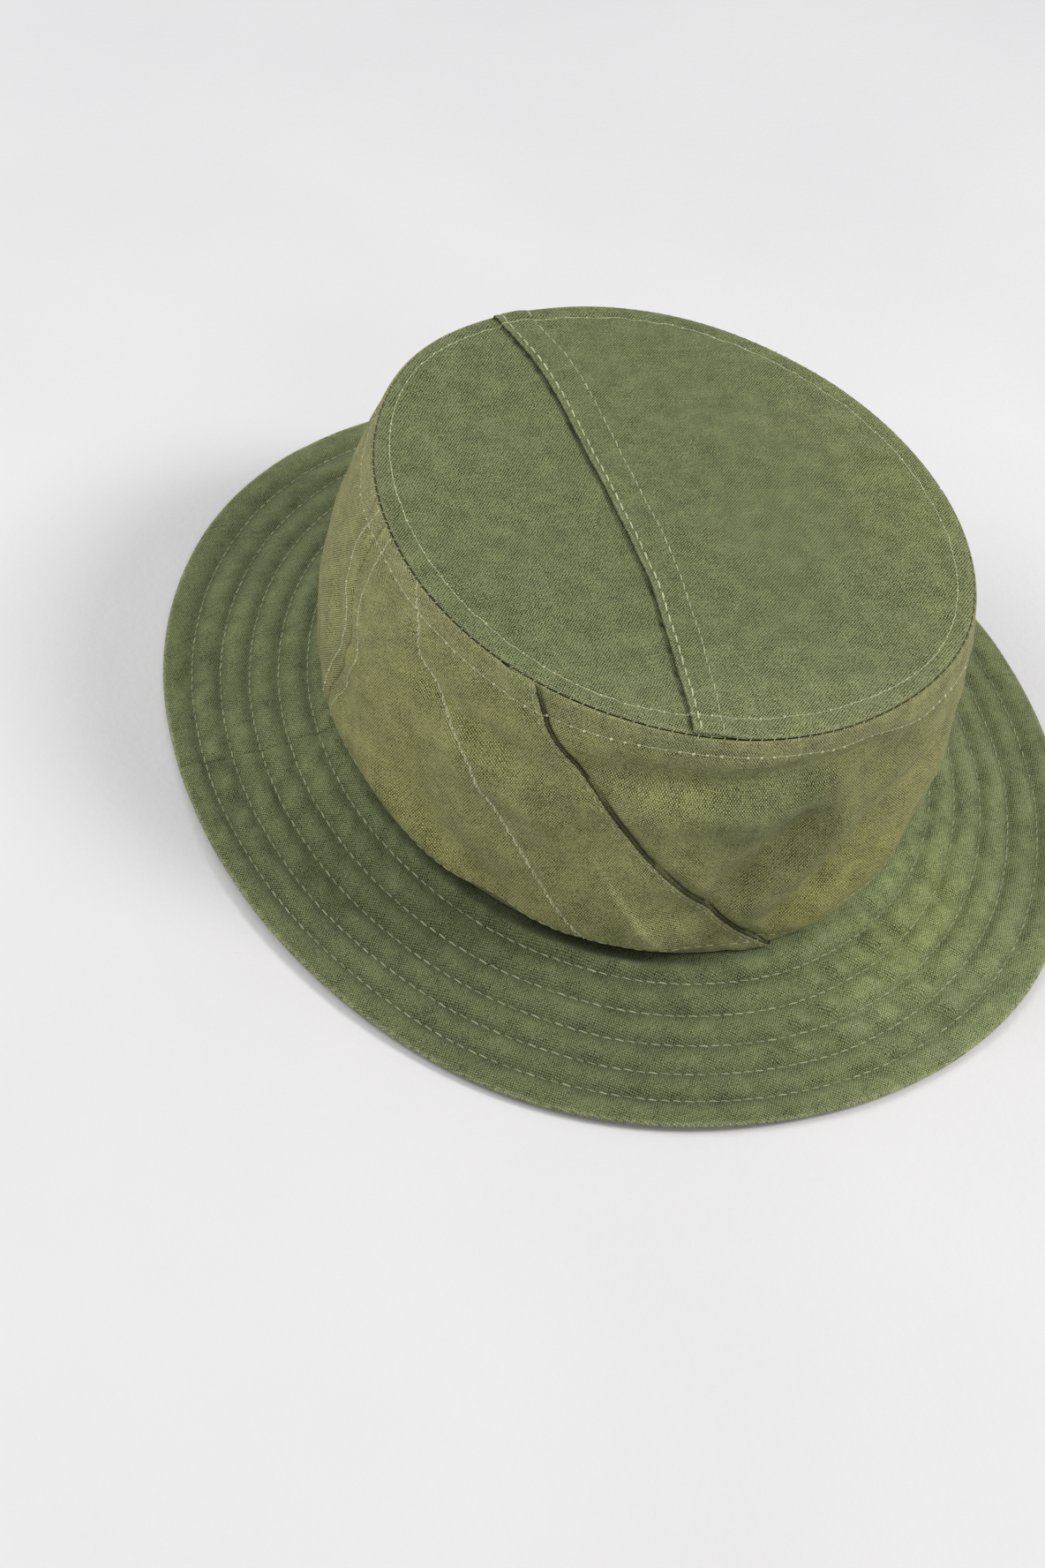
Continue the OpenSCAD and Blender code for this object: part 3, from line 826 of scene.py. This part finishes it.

# ---------------------------------------------------------------- colour zones of the cloth, and its painted light and shade


def wall_values(angle, up):
    """Where the wall is worn pale, where its dye is yellower (above 0) or greener (below 0), and its painted
    light
    and shade: how much lighter (above 0) or darker (below 0) it is painted."""
    x, y = cloth_xy(wrap(angle), up)

    def patch(start, end, width):
        return along(x, y, cloth_xy(*start), cloth_xy(*end), width)

    streak = 1.7 * patch((-119, 0.40), (-101, 0.0), 0.9) + 0.5 * patch((-112, 0.2), (-103, 0.0), 2.2)
    edges = 0.3 * hill((1 - up) * WALL_H - 1.8 * MM, 1.2 * MM)
    edges = edges + 0.2 * hill(up * WALL_H - 1.5 * MM, 3 * MM)
    rows = 0.22 * hill((up - wall_top_row(angle)) * WALL_H - 2.0 * MM, 1.5 * MM)
    lap = np.radians(wrap(wall_fold(up) - angle)) * WALL_R
    fold_edge = 0.2 * hill(lap - 0.4 * MM, 0.7 * MM)
    wear = 0.5 * streak + edges + rows + fold_edge
    yellow = (0.7 * patch((-86, 0.05), (-56, 0.42), 11) + 0.5 * patch((-176, 0.15), (-128, 0.05), 12)
              + 0.3 * patch((-178, 0.5), (-150, 0.35), 14) + 0.3 * patch((-60, 0.5), (-30, 0.6), 14))
    green = (0.75 * patch((-104, 0.68), (-78, 0.82), 9) + 0.5 * patch((-100, 0.5), (-82, 0.75), 8)
             + 0.35 * hill((up - 0.97) * WALL_H, 6 * MM) + 0.3 * patch((-196, 0.8), (-176, 0.9), 10))
    # Painted shade: the front panel is darker in the crevice beside the lap's folded edge
    crevice_shade = hill(np.minimum(lap + 0.45 * MM, 0), 0.4 * MM) * (lap < 0.12 * MM)
    # Painted shadow: the wall's foot is darker under the overhang
    overhang_shadow = overhang(angle) * (1 - ramp(up * WALL_H, 4.5 * MM, 7 * MM))
    # Painted light and shade: broad patches of the front painted lighter or darker
    painted_light_and_shade = (0.12 * patch((-122, 0.5), (-100, 0.15), 14) - 0.14 * patch((-92, 0.75), (-50, 0.75), 12)
             - 0.2 * patch((-100, 0.35), (-72, 0.6), 14))
    return {"wear": wear, "tint": yellow - green, "painted_light_and_shade": painted_light_and_shade - 0.97 * crevice_shade - 0.5 * overhang_shadow}


def brim_values(angle, across):
    """Wear, tint and painted light and shade of the brim's cloth."""
    inset = (1 - across) * BRIM_W
    relief = brim_relief(angle, across) / MM
    crests = 0.20 * np.clip(relief - 0.05, 0, 0.6)
    wear = 1.1 * hill(inset, 0.9 * MM) + crests
    x = wrap(angle)
    # Painted shade: darker in the grooves of the rows and under the overhang, lighter on the quilting's
    # crests and darker in its valleys
    row_groove_shade = sum(hill((across - row) * BRIM_W, 0.8 * MM) for row in BRIM_ROWS)
    overhang_shadow = overhang(angle) * (1 - ramp(across, 0.04, 0.085))
    painted_light_and_shade = 0.10 * np.clip(relief - 0.1, -0.9, 0.9) - 0.1 * row_groove_shade - 0.7 * overhang_shadow
    # Painted light and shade: lit and shaded patches on the puckers at the front right, broad lit zones at
    # the right and back, darker zones at the front and front left
    patchy = waves(np.stack([x / 7, across * CHANNELS], -1), 2.2, 51) * hill(x + 60, 28)
    lit = 0.5 * hill(x + 58, 24) + 0.2 * hill(x + 15, 35) + 0.1 * hill(wrap(x - 175), 22)
    painted_light_and_shade = painted_light_and_shade + lit * (0.55 + 0.45 * hill(across - 0.35, 0.35)) + 0.06 * patchy
    painted_light_and_shade = painted_light_and_shade - 0.15 * hill(x + 105, 25) - 0.22 * hill(x + 142, 24)
    yellow = 0.8 * hill(x + 55, 24) * hill(across - 0.34, 0.24) + 0.35 * hill(inset, 5 * MM)
    return {"wear": wear, "tint": yellow + 0.25 * crests - 0.15, "painted_light_and_shade": painted_light_and_shade}


def tip_values(x, y):
    """Wear, tint and painted light and shade of the tip."""
    inset = tip_inset(x, y)
    far = hill((x - 0.95 * TIP_X) / (30 * MM), 1.0)
    front = hill((y + TIP_Y) / (26 * MM), 1.0)
    wear = 0.25 * hill(inset - 1.6 * MM, 0.8 * MM) + 0.12 * front
    past = x - tip_fold(y)
    # Painted shade: the left panel is darker in the crevice beside the right panel's folded edge
    crevice_shade = hill(np.minimum(past, 0), 0.3 * MM) * (past < 0.1 * MM)
    tint = 0.45 * far + 0.25 * front - 0.1
    # Painted light: the front and the far right are painted lighter
    return {"wear": wear, "tint": tint, "painted_light_and_shade": 0.12 * front + 0.08 * far - 0.75 * crevice_shade}


# ---------------------------------------------------------------- cloth pieces

# Places near an edge, close together where the cloth rolls over
FINE = np.array([0, 0.35, 0.7, 0.82, 0.94, 1.06, 1.18, 1.3, 1.42, 1.54, 1.9, 2.5, 3.1]) * MM


def places(length, step, fine_start=True, fine_end=True):
    """Places from 0 to 1 along a length, about a step apart and closer together at the fine ends."""
    start = FINE if fine_start else FINE[:1]
    end = length - (FINE if fine_end else FINE[:1])[::-1]
    middle = np.linspace(start[-1], end[0], int((end[0] - start[-1]) / step) + 2)[1:-1]
    return np.concatenate([start, middle, end]) / length


def turned(x, y, grain):
    """Cloth coordinates turned by the grain's angle in degrees."""
    c, s = math.cos(math.radians(grain)), math.sin(math.radians(grain))
    return np.stack([c * x + s * y, c * y - s * x], -1)


def seam_dip(distance):
    """How far a seamed edge turns inwards, at a distance from it."""
    return 0.5 * MM * np.clip(1 - distance / (1.1 * MM), 0, 1) ** 2


def wall_panel(name, start, end, lift, grain, node):
    """One panel of the wall between two edges, each an angle that depends on the height.

    lift(distance from the start edge, distance from the end edge, up) raises the cloth in metres."""
    up = places(WALL_H, 0.9 * MM)
    width = np.radians(abs(end(0.5) - start(0.5))) * WALL_R
    share = places(width, 1.0 * MM)
    share, up = np.meshgrid(share, up, indexing="ij")
    angle = start(up) + (end(up) - start(up)) * share
    from_start = np.radians(angle - start(up)) * WALL_R
    to_end = np.radians(end(up) - angle) * WALL_R
    points = wall(angle, up, lift(from_start, to_end, up))
    uv = turned(np.radians(angle) * WALL_R, up * WALL_H, grain).reshape(-1, 2)
    values = {key: value.ravel() for key, value in wall_values(angle, up).items()}
    faces = grid_faces(*share.shape)
    piece = cloth(name, points.reshape(-1, 3), faces, CANVAS, CANVAS_WALL, uv, values)
    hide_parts(node)


def wall_lap(distance, up):
    """Lift of the left wall panel where it lies over the front one."""
    fade = 1 - 0.25 * ramp(up, 0.85, 1)
    gape = 0.25 * MM * (1 - ramp(distance, 0, 7 * MM)) * (1 - ramp(up, 0.3, 0.8))
    return overlap_lift(distance) * fade + gape


def wall_recess(distance, up):
    """How far the front panel falls back, at a distance past the left panel's folded edge."""
    fade = (1 - 0.8 * ramp(up, 0.5, 0.88)) * ramp(up, 0.01, 0.07)
    return 0.9 * MM * (1 - ramp(distance, 0.5 * MM, 6 * MM)) * fade


def brim_sheet(name, start, side):
    """Half of the brim's upper (side 1) or lower (side -1) cloth, from an angle on."""
    width = math.pi * (EDGE_X + EDGE_Y) / 2
    share, across = np.meshgrid(places(width, 0.95 * MM), places(BRIM_W, 0.75 * MM), indexing="ij")
    angle = start + 180 * share
    seam = np.minimum(share, 1 - share) * width * (0.62 + 0.38 * across)
    points = brim(angle, across, side, lift=-seam_dip(seam) * 0.8)
    faces = grid_faces(*share.shape, flip=side > 0)
    uv = turned(points[..., 0], points[..., 1], 12 if side > 0 else -20).reshape(-1, 2)
    values = {key: value.ravel() for key, value in brim_values(angle, across).items()}
    piece = cloth(name, points.reshape(-1, 3), faces, CANVAS, CANVAS_BRIM, uv, values)
    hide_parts(name)


def brim_felt():
    """The stiffener between the brim's two cloths, from just outside the crown to just inside the edge."""
    inner, outer = 0.06, 1 - 2.5 * MM / BRIM_W
    across = inner + (outer - inner) * places(BRIM_W, 1.5 * MM, False, False)[:-1]
    angle, across = np.meshgrid(np.arange(0, 360, 0.6), across, indexing="ij")
    top = brim(angle, across)
    low = brim(angle, across, -1)
    depth = np.linalg.norm(top - low, axis=-1)
    thickness = np.maximum(depth - 2 * CANVAS - 0.3 * MM, 0.1 * MM)
    top[..., 2] -= (depth - thickness) / 2
    faces = grid_faces(*angle.shape, flip=True, closed=True)
    points = top.reshape(-1, 3)
    piece = cloth("brim_interlining", points, faces, thickness.ravel(), FELT,
                  points[:, :2], {})
    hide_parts("brim_interlining")


# Lines that the tip's mesh follows: at these distances from its edge, and from its folded edge
RIM_INSETS = np.array([
    0.35, 0.7, 0.82, 0.94, 1.06, 1.18, 1.3, 1.42, 1.54, 2.0, 2.5, 3.2, 4.1, 5.0, 5.8, 6.4, 7.0, 7.6,
    8.3, 9.2,
]) * MM
FOLD_LINES = np.array([
    0.1, 0.25, 0.45, 0.7, 1.0, 1.4, 1.8, 2.3, 2.8, 3.4, 4.2, 5.2, 6.4, 7.6, 8.6, 9.4, 10, 10.6, 11.4, 12.4,
    13.4, 14.4,
]) * MM


def ellipse_ring(inset, step):
    """Points of the tip's outline moved in by inset, a step apart."""
    count = int(2 * math.pi * (TIP_X + TIP_Y) / 2 / step)
    turn = np.arange(count) * 2 * math.pi / count
    return np.stack([(TIP_X - inset) * np.cos(turn), (TIP_Y - inset) * np.sin(turn)], -1)


def tip_mesh(edge, keep, fine):
    """A triangle mesh of the tip on one side of a line x = edge(y): plan points and faces.

    keep is 1 for the side of greater x and -1 for the other. fine lists distances from the line."""
    outline = ellipse_ring(0, 1.2 * MM)
    side = keep * (outline[:, 0] - edge(outline[:, 1]))
    arc = outline[side > 0.3 * MM]
    jump = np.argmax(np.linalg.norm(np.roll(arc, -1, axis=0) - arc, axis=1))
    arc = np.roll(arc, -jump - 1, axis=0)
    ends = []
    for sign in (-1, 1):
        y = np.linspace(0, sign * TIP_Y, 4001)
        inside = (edge(y) / TIP_X) ** 2 + (y / TIP_Y) ** 2 <= 1
        ends.append(y[inside][-1])
    y = np.linspace(ends[0], ends[1], 200)
    if arc[-1, 1] > 0:
        y = y[::-1]
    border = np.concatenate([arc, np.stack([edge(y), y], -1)])
    groups = [ellipse_ring(inset, 1.2 * MM) for inset in RIM_INSETS]
    y = np.linspace(-TIP_Y, TIP_Y, 180)
    groups += [np.stack([edge(y) + keep * distance, y], -1) for distance in fine]
    step = 1.3 * MM
    gx, gy = np.meshgrid(np.arange(-TIP_X, TIP_X, step), np.arange(-TIP_Y, TIP_Y, step))
    inner = np.stack([gx.ravel(), gy.ravel()], -1)
    clear = tip_inset(*inner.T) > RIM_INSETS[-1] + 0.8 * MM
    away = keep * (inner[:, 0] - edge(inner[:, 1])) > max(fine) + 0.8 * MM
    groups.append(inner[clear & away])
    more = np.concatenate(groups)
    least = 0.08 * MM
    more = more[(keep * (more[:, 0] - edge(more[:, 1])) > least) & (tip_inset(*more.T) > least)]
    points = np.concatenate([border, more])
    ring = list(range(len(border)))
    edges = list(zip(ring, ring[1:] + ring[:1]))
    found = delaunay_2d_cdt([Vector(p) for p in points / MM], edges, [], 1, 1e-4)
    flat = np.array([tuple(v) for v in found[0]]) * MM
    faces = np.array([list(f) for f in found[2]])
    corner = flat[faces]
    one, two = corner[:, 1] - corner[:, 0], corner[:, 2] - corner[:, 0]
    area = one[:, 0] * two[:, 1] - one[:, 1] * two[:, 0]
    faces[area < 0] = faces[area < 0][:, ::-1]
    return flat, faces


def tip_lap(x, y):
    """Lift of the tip's right panel, which folds over the left one."""
    return overlap_lift(np.maximum(x - tip_fold(y), 0))


def tip_panel(name, edge, keep, fine, lap, grain, node):
    """One panel of the tip, on one side of a line; see tip_mesh(). lap says whether it lies on top."""
    flat, faces = tip_mesh(edge, keep, fine)
    x, y = flat.T
    lift = tip_lap(x, y) if lap else -0.05 * MM
    values = tip_values(x, y)
    if lap:
        values["wear"] = values["wear"] + 0.3 * hill(x - tip_fold(y) - 0.6 * MM, 0.5 * MM)
    uv = turned(x, y, grain)
    piece = cloth(name, tip(x, y, lift), faces, CANVAS, CANVAS_TIP, uv, values)
    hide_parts(node)


# ---------------------------------------------------------------- linings and sweatband


def inner_wall(name, start, end, depth, low, high, thickness, material, node):
    """Cloth inside the wall, between two angles and two heights, depth inside the wall's outer face."""
    up = low + (high - low) * places((high - low) * WALL_H, 1.6 * MM, False, True)
    width = math.radians(end - start) * WALL_R
    closed = end - start > 359
    share = np.arange(340) / 340 if closed else places(width, 1.7 * MM)
    share, up = np.meshgrid(share, up, indexing="ij")
    angle = start + (end - start) * share
    slack = waves(np.stack(cloth_xy(angle, up), -1), 26, 41) * 0.15 * MM
    points = wall(angle, up, -depth - slack, 0.0)
    faces = grid_faces(*angle.shape, flip=True, closed=closed)
    values = {key: np.zeros(angle.size) for key in ("wear", "tint")}
    uv = np.stack([np.radians(angle) * WALL_R, up * WALL_H], -1).reshape(-1, 2)
    piece = cloth(name, points.reshape(-1, 3), faces, thickness, material, uv, values)
    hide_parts(node)


def lining_tip():
    """The round lining under the tip, facing down."""
    rings = places(1.0, 0.012, False, False)[1:]
    turn = np.arange(360) * 2 * math.pi / 360
    turn, share = np.meshgrid(turn, rings, indexing="ij")
    x = (TIP_X - 2.2 * MM) * share * np.cos(turn)
    y = (TIP_Y - 2.2 * MM) * share * np.sin(turn)
    depth = CANVAS * 2 + 0.5 * MM + 1.2 * MM * hill(share - 1, 0.05)
    points = np.concatenate([tip(x, y, -depth).reshape(-1, 3), tip(0.0, 0.0, -depth.min()).reshape(1, 3)])
    rows = len(rings)
    middle = len(points) - 1
    fan = np.array([[middle, k * rows, (k + 1) % 360 * rows] for k in range(360)])
    quads = grid_faces(*turn.shape, closed=True)
    triangles = upward(points, np.concatenate([fan, quads[:, 1:], quads[:, [0, 1, 3]]]))[:, ::-1]
    values = {key: np.zeros(len(points)) for key in ("wear", "tint")}
    uv = points[:, :2]
    piece = cloth("lining_tip", points, triangles, LINING, COTTON_LINING, uv, values)
    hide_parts("lining_tip")


def upward(points, faces):
    """The faces, each turned so that it looks up."""
    corner = points[faces]
    normal = np.cross(corner[:, 1] - corner[:, 0], corner[:, 2] - corner[:, 0])
    faces = faces.copy()
    faces[normal[:, 2] < 0] = faces[normal[:, 2] < 0][:, ::-1]
    return faces


# ---------------------------------------------------------------- assembly: cloth


def plain_seams(from_start, to_end, up):
    """Lift of a panel whose two edges are ordinary seams."""
    return -seam_dip(from_start) - seam_dip(to_end)


def under_lap(from_start, to_end, up):
    """Lift of the front panel: one edge lies under the lap, and the cloth beside it falls back a little."""
    return -seam_dip(to_end) - wall_recess(from_start - UNDERLAP * WALL_R, up)


def over_lap(from_start, to_end, up):
    """Lift of the left panel: it ends in the folded lap."""
    return wall_lap(to_end, up) - seam_dip(from_start)


def right_seam(up):
    """Angle of the wall's plain seam at the right side, at any height."""
    return 0 * up


def left_seam_behind(up):
    """Angle of the left seam, counted on from the right seam."""
    return left_seam(up) + 360


def hidden_edge(up):
    """Angle of the front panel's edge under the lap."""
    return wall_fold(up) - math.degrees(UNDERLAP)


def tip_hidden_edge(y):
    """x of the left panel's edge under the tip's lap."""
    return tip_fold(y) + 8.5 * MM


wall_panel("wall_front", hidden_edge, right_seam, under_lap, 0, "wall_panel_front")
wall_panel("wall_left", left_seam, wall_fold, over_lap, 24, "wall_panel_left")
wall_panel("wall_back", right_seam, left_seam_behind, plain_seams, 4, "wall_panel_back")

tip_panel("tip_left", tip_hidden_edge, -1, FOLD_LINES[:4], False, 6, "tip_panel_left")
tip_panel("tip_right", tip_fold, 1, FOLD_LINES, True, -3, "tip_panel_right")

for half, start in (("front", -180), ("back", 0)):
    brim_sheet(f"brim_top_{half}", start, 1)
    brim_sheet(f"brim_under_{half}", start, -1)
brim_felt()

lining_tip()
for half, start in (("left", 90), ("right", -90)):
    inner_wall(f"lining_{half}", start, start + 180, 2.3 * MM, 0.02, 0.965, LINING, COTTON_LINING,
               f"lining_wall_{half}")
inner_wall("sweatband", -180, 180, 3.1 * MM, 0.0, BAND_H / WALL_H, TWILL, BAND_TWILL,
           "sweatband")

# ---------------------------------------------------------------- assembly: threads

# Places along the rows: angles all the way round, and ups from the wall's foot to its top
TURN = np.linspace(-180, 180, 2881)
RISE = np.linspace(0.012, 0.985, 240)


def wall_row(angle, up, lift=0.0, **style):
    """Stitches along a line on the wall."""
    points, normals = on_surface(wall, angle, up, WALL_STEPS)
    return stitch_row(points + normals * lift, normals, **style)


def tip_row(x, y, lift, **style):
    """Stitches along a line on the tip, lift above its cloth."""
    points, normals = on_surface(tip, x, y, TIP_STEPS)
    points[:, 2] += lift
    return stitch_row(points, normals, **style)


def brim_rows(across):
    """A row round the brim: stitches above, and the lower thread's stitches below."""
    rows = []
    for side in (1, -1):
        def face(angle, share, side=side):
            return brim(angle, share, side)
        angle = TURN if side > 0 else TURN + 0.5
        points, normals = on_surface(face, angle, across, BRIM_STEPS, flip=side > 0)
        style = {"length": 2.7 * MM, "radius": 0.19 * MM, "pitch": 3.4 * MM, "tone": 0.3}
        rows.append(stitch_row(points, normals, **style))
    return rows


def lap_on_wall(angle, up):
    """Height of the left panel's lap over the wall at any place, for rows that cross it."""
    distance = np.radians(wrap(wall_fold(up) - angle)) * WALL_R
    return np.where(distance >= 0, wall_lap(np.maximum(distance, 0), up), -wall_recess(-distance, up))


def seam_ladder():
    """Short threads that cross the groove between wall and tip."""
    count = int(2 * math.pi * (TIP_X + TIP_Y) / 2 / (3.6 * MM))
    angle = np.arange(count) * 360 / count + RNG.uniform(-0.1, 0.1, count)
    turn = np.radians(angle + 0.35)
    low, out = on_surface(wall, angle, 1 - 1.02 * MM / WALL_H, WALL_STEPS)
    inset = 1.0 * MM
    high = tip((TIP_X - inset) * np.cos(turn), (TIP_Y - inset) * np.sin(turn))
    steps = np.array([0, 0.15, 0.5, 0.85, 1])
    centre = low[:, None] + (high - low)[:, None] * steps[None, :, None]
    way = (out + [0, 0, 1]) / math.sqrt(2)
    centre = centre + way[:, None] * (0.05 * MM + 0.1 * MM * np.sin(math.pi * steps))[None, :, None]
    span = (high - low) / np.linalg.norm(high - low, axis=1, keepdims=True)
    tangent = np.repeat(span[:, None], len(steps), 1)
    up = np.repeat(way[:, None], len(steps), 1)
    up = up - tangent * (up * tangent).sum(-1, keepdims=True)
    up /= np.linalg.norm(up, axis=-1, keepdims=True)
    skin, faces = thread_tubes(centre, tangent, up, np.full(centre.shape[:2], 0.11 * MM))
    return skin, faces, np.full(len(skin), 0.45)


turn = np.radians(TURN)
rim_inset = tip_row_mm(TURN) * MM
rim_x, rim_y = (TIP_X - rim_inset) * np.cos(turn), (TIP_Y - rim_inset) * np.sin(turn)
rim_lift = np.where(rim_x > tip_fold(rim_y), tip_lap(rim_x, rim_y), 0)
rim_style = {"length": 3.2 * MM, "radius": 0.13 * MM, "pitch": 3.4 * MM, "tone": 0.5, "beads": 0.33 * MM}
thread_piece("threads_tip_rim", [tip_row(rim_x, rim_y, rim_lift, **rim_style), seam_ladder()],
             "thread_tip_rim")

lap_y = np.linspace(-TIP_Y + 3 * MM, TIP_Y - 3 * MM, 500)
edge_x = tip_fold(lap_y) + 2.3 * MM
inner_x = tip_fold(lap_y) + (10 + 1.6 * lap_y / TIP_Y) * MM
for row, x, length, radius, pitch, tone in (
    ("edge", edge_x, 3.3 * MM, 0.24 * MM, 4.1 * MM, 0.75),
    ("inner", inner_x, 2.9 * MM, 0.16 * MM, 3.6 * MM, 0.55),
):
    inside = tip_inset(x, lap_y) > 1.5 * MM
    stitches = tip_row(x[inside], lap_y[inside], tip_lap(x, lap_y)[inside],
                       length=length, radius=radius, pitch=pitch, tone=tone)
    thread_piece(f"threads_tip_lap_{row}", [stitches], f"thread_tip_lap_{row}")


def lap_row(angle, up, **style):
    """Stitches along a line on the wall, lifted where they cross its lap."""
    return wall_row(angle, up, lap_on_wall(angle, up)[:, None], **style)


top_style = {"length": 3.4 * MM, "radius": 0.1 * MM, "pitch": 3.6 * MM, "tone": 0.5, "beads": 0.4 * MM}
foot_style = {"length": 2.6 * MM, "radius": 0.17 * MM, "tone": 0.3}
fold_style = {"length": 2.7 * MM, "radius": 0.15 * MM, "pitch": 3.2 * MM, "tone": 0.4}
thread_piece("threads_wall_top", [lap_row(TURN, wall_top_row(TURN), **top_style)], "thread_wall_top")
thread_piece("threads_wall_bottom", [lap_row(TURN, wall_foot_row(TURN), **foot_style)], "thread_wall_bottom")
thread_piece("threads_wall_lap_edge", [lap_row(wall_fold(RISE) - 1.25, RISE, **fold_style)],
             "thread_wall_lap_edge")

thread_piece("threads_wall_lap_inner", [
    wall_row(wall_inner_row(RISE), RISE, length=2.7 * MM, radius=0.22 * MM, pitch=3.4 * MM, slant=0.3,
             tone=0.75, beads=0.36 * MM),
    wall_row(wall_inner_row(RISE) + 0.4, RISE, length=3.0 * MM, radius=0.12 * MM, pitch=3.4 * MM, tone=0.5),
], "thread_wall_lap_inner")

side_style = {"length": 3.2 * MM, "radius": 0.16 * MM, "tone": 0.65, "beads": 0.34 * MM}
side_rows = [wall_row(row(RISE), RISE, **side_style) for row in (left_row_front, left_row_back)]
thread_piece("threads_left_seam", side_rows, "thread_left_seam")


def band_face(angle, up):
    """The sweatband's inner face."""
    return wall(angle, up, -3.85 * MM, 0.0)


def band_row(up):
    """Stitches round the sweatband."""
    points, normals = on_surface(band_face, TURN, up, WALL_STEPS, flip=True)
    return stitch_row(points, normals, length=2.3 * MM, radius=0.2 * MM)


thread_piece("threads_sweatband", [band_row(0.03), band_row(BAND_H / WALL_H - 0.035)], "thread_sweatband")

for number, across in enumerate(BRIM_ROWS, 1):
    thread_piece(f"threads_brim_row_{number}", brim_rows(across), f"thread_brim_row_{number}")

# ---------------------------------------------------------------- studio


def studio_floor():
    """A large pale plaster floor with a faint, smooth mottling."""
    bpy.ops.mesh.primitive_plane_add(size=8)
    floor = bpy.context.object
    floor.name = "floor"
    material = bpy.data.materials.new("floor_plaster")
    material.use_nodes = True
    tree = material.node_tree
    shader = tree.nodes["Principled BSDF"]
    shader.inputs["Roughness"].default_value = 0.85
    shader.inputs["Specular IOR Level"].default_value = 0.2
    place = add_node(tree, "ShaderNodeTexCoord", out=3)
    plaster = mix(tree, noise(tree, place, 0.18, 6.0), rgb(0.76, 0.75, 0.765), rgb(0.88, 0.87, 0.88))
    tree.links.new(plaster, shader.inputs["Base Color"])
    bump(tree, shader, noise(tree, place, 2.5 * MM, 5.0), 0.6 * MM, 0.35)
    floor.data.materials.append(material)


def area_light(name, place, size, power, colour):
    """A square soft box at a place, aimed at the hat."""
    light = bpy.data.lights.new(name, "AREA")
    light.size = size
    light.energy = power
    light.color = colour
    lamp = bpy.data.objects.new(name, light)
    lamp.location = place
    lamp.rotation_euler = (Vector((0, 0, 0.05)) - Vector(place)).to_track_quat("-Z", "Y").to_euler()
    bpy.context.scene.collection.objects.link(lamp)


def studio_camera():
    """The photograph's view: high over the front left, rolled a little."""
    lens = bpy.data.cameras.new("camera")
    lens.lens = 50
    lens.sensor_width = 36
    camera = bpy.data.objects.new("camera", lens)
    place = Vector((-0.2455, -0.4209, 0.4851))
    aim = Vector((-0.0560, -0.0569, 0.0450))
    turn = (aim - place).to_track_quat("-Z", "Y").to_matrix().to_4x4()
    roll = Matrix.Rotation(math.radians(14.1), 4, "Z")
    camera.matrix_world = Matrix.Translation(place) @ turn @ roll
    bpy.context.scene.collection.objects.link(camera)
    bpy.context.scene.camera = camera


studio_floor()
area_light("window", (0.98, -0.4, 1.15), 0.4, 11, (1.0, 0.985, 0.96))
area_light("left_window", (-1.0, 0.2, 1.0), 0.6, 6.5, (1.0, 0.99, 0.97))
world = bpy.data.worlds.new("studio")
world.use_nodes = True
background = world.node_tree.nodes["Background"]
background.inputs["Color"].default_value = rgb(0.97, 0.98, 1.0)
background.inputs["Strength"].default_value = 0.54
bpy.context.scene.world = world
bpy.context.scene.view_settings.view_transform = "Standard"
studio_camera()
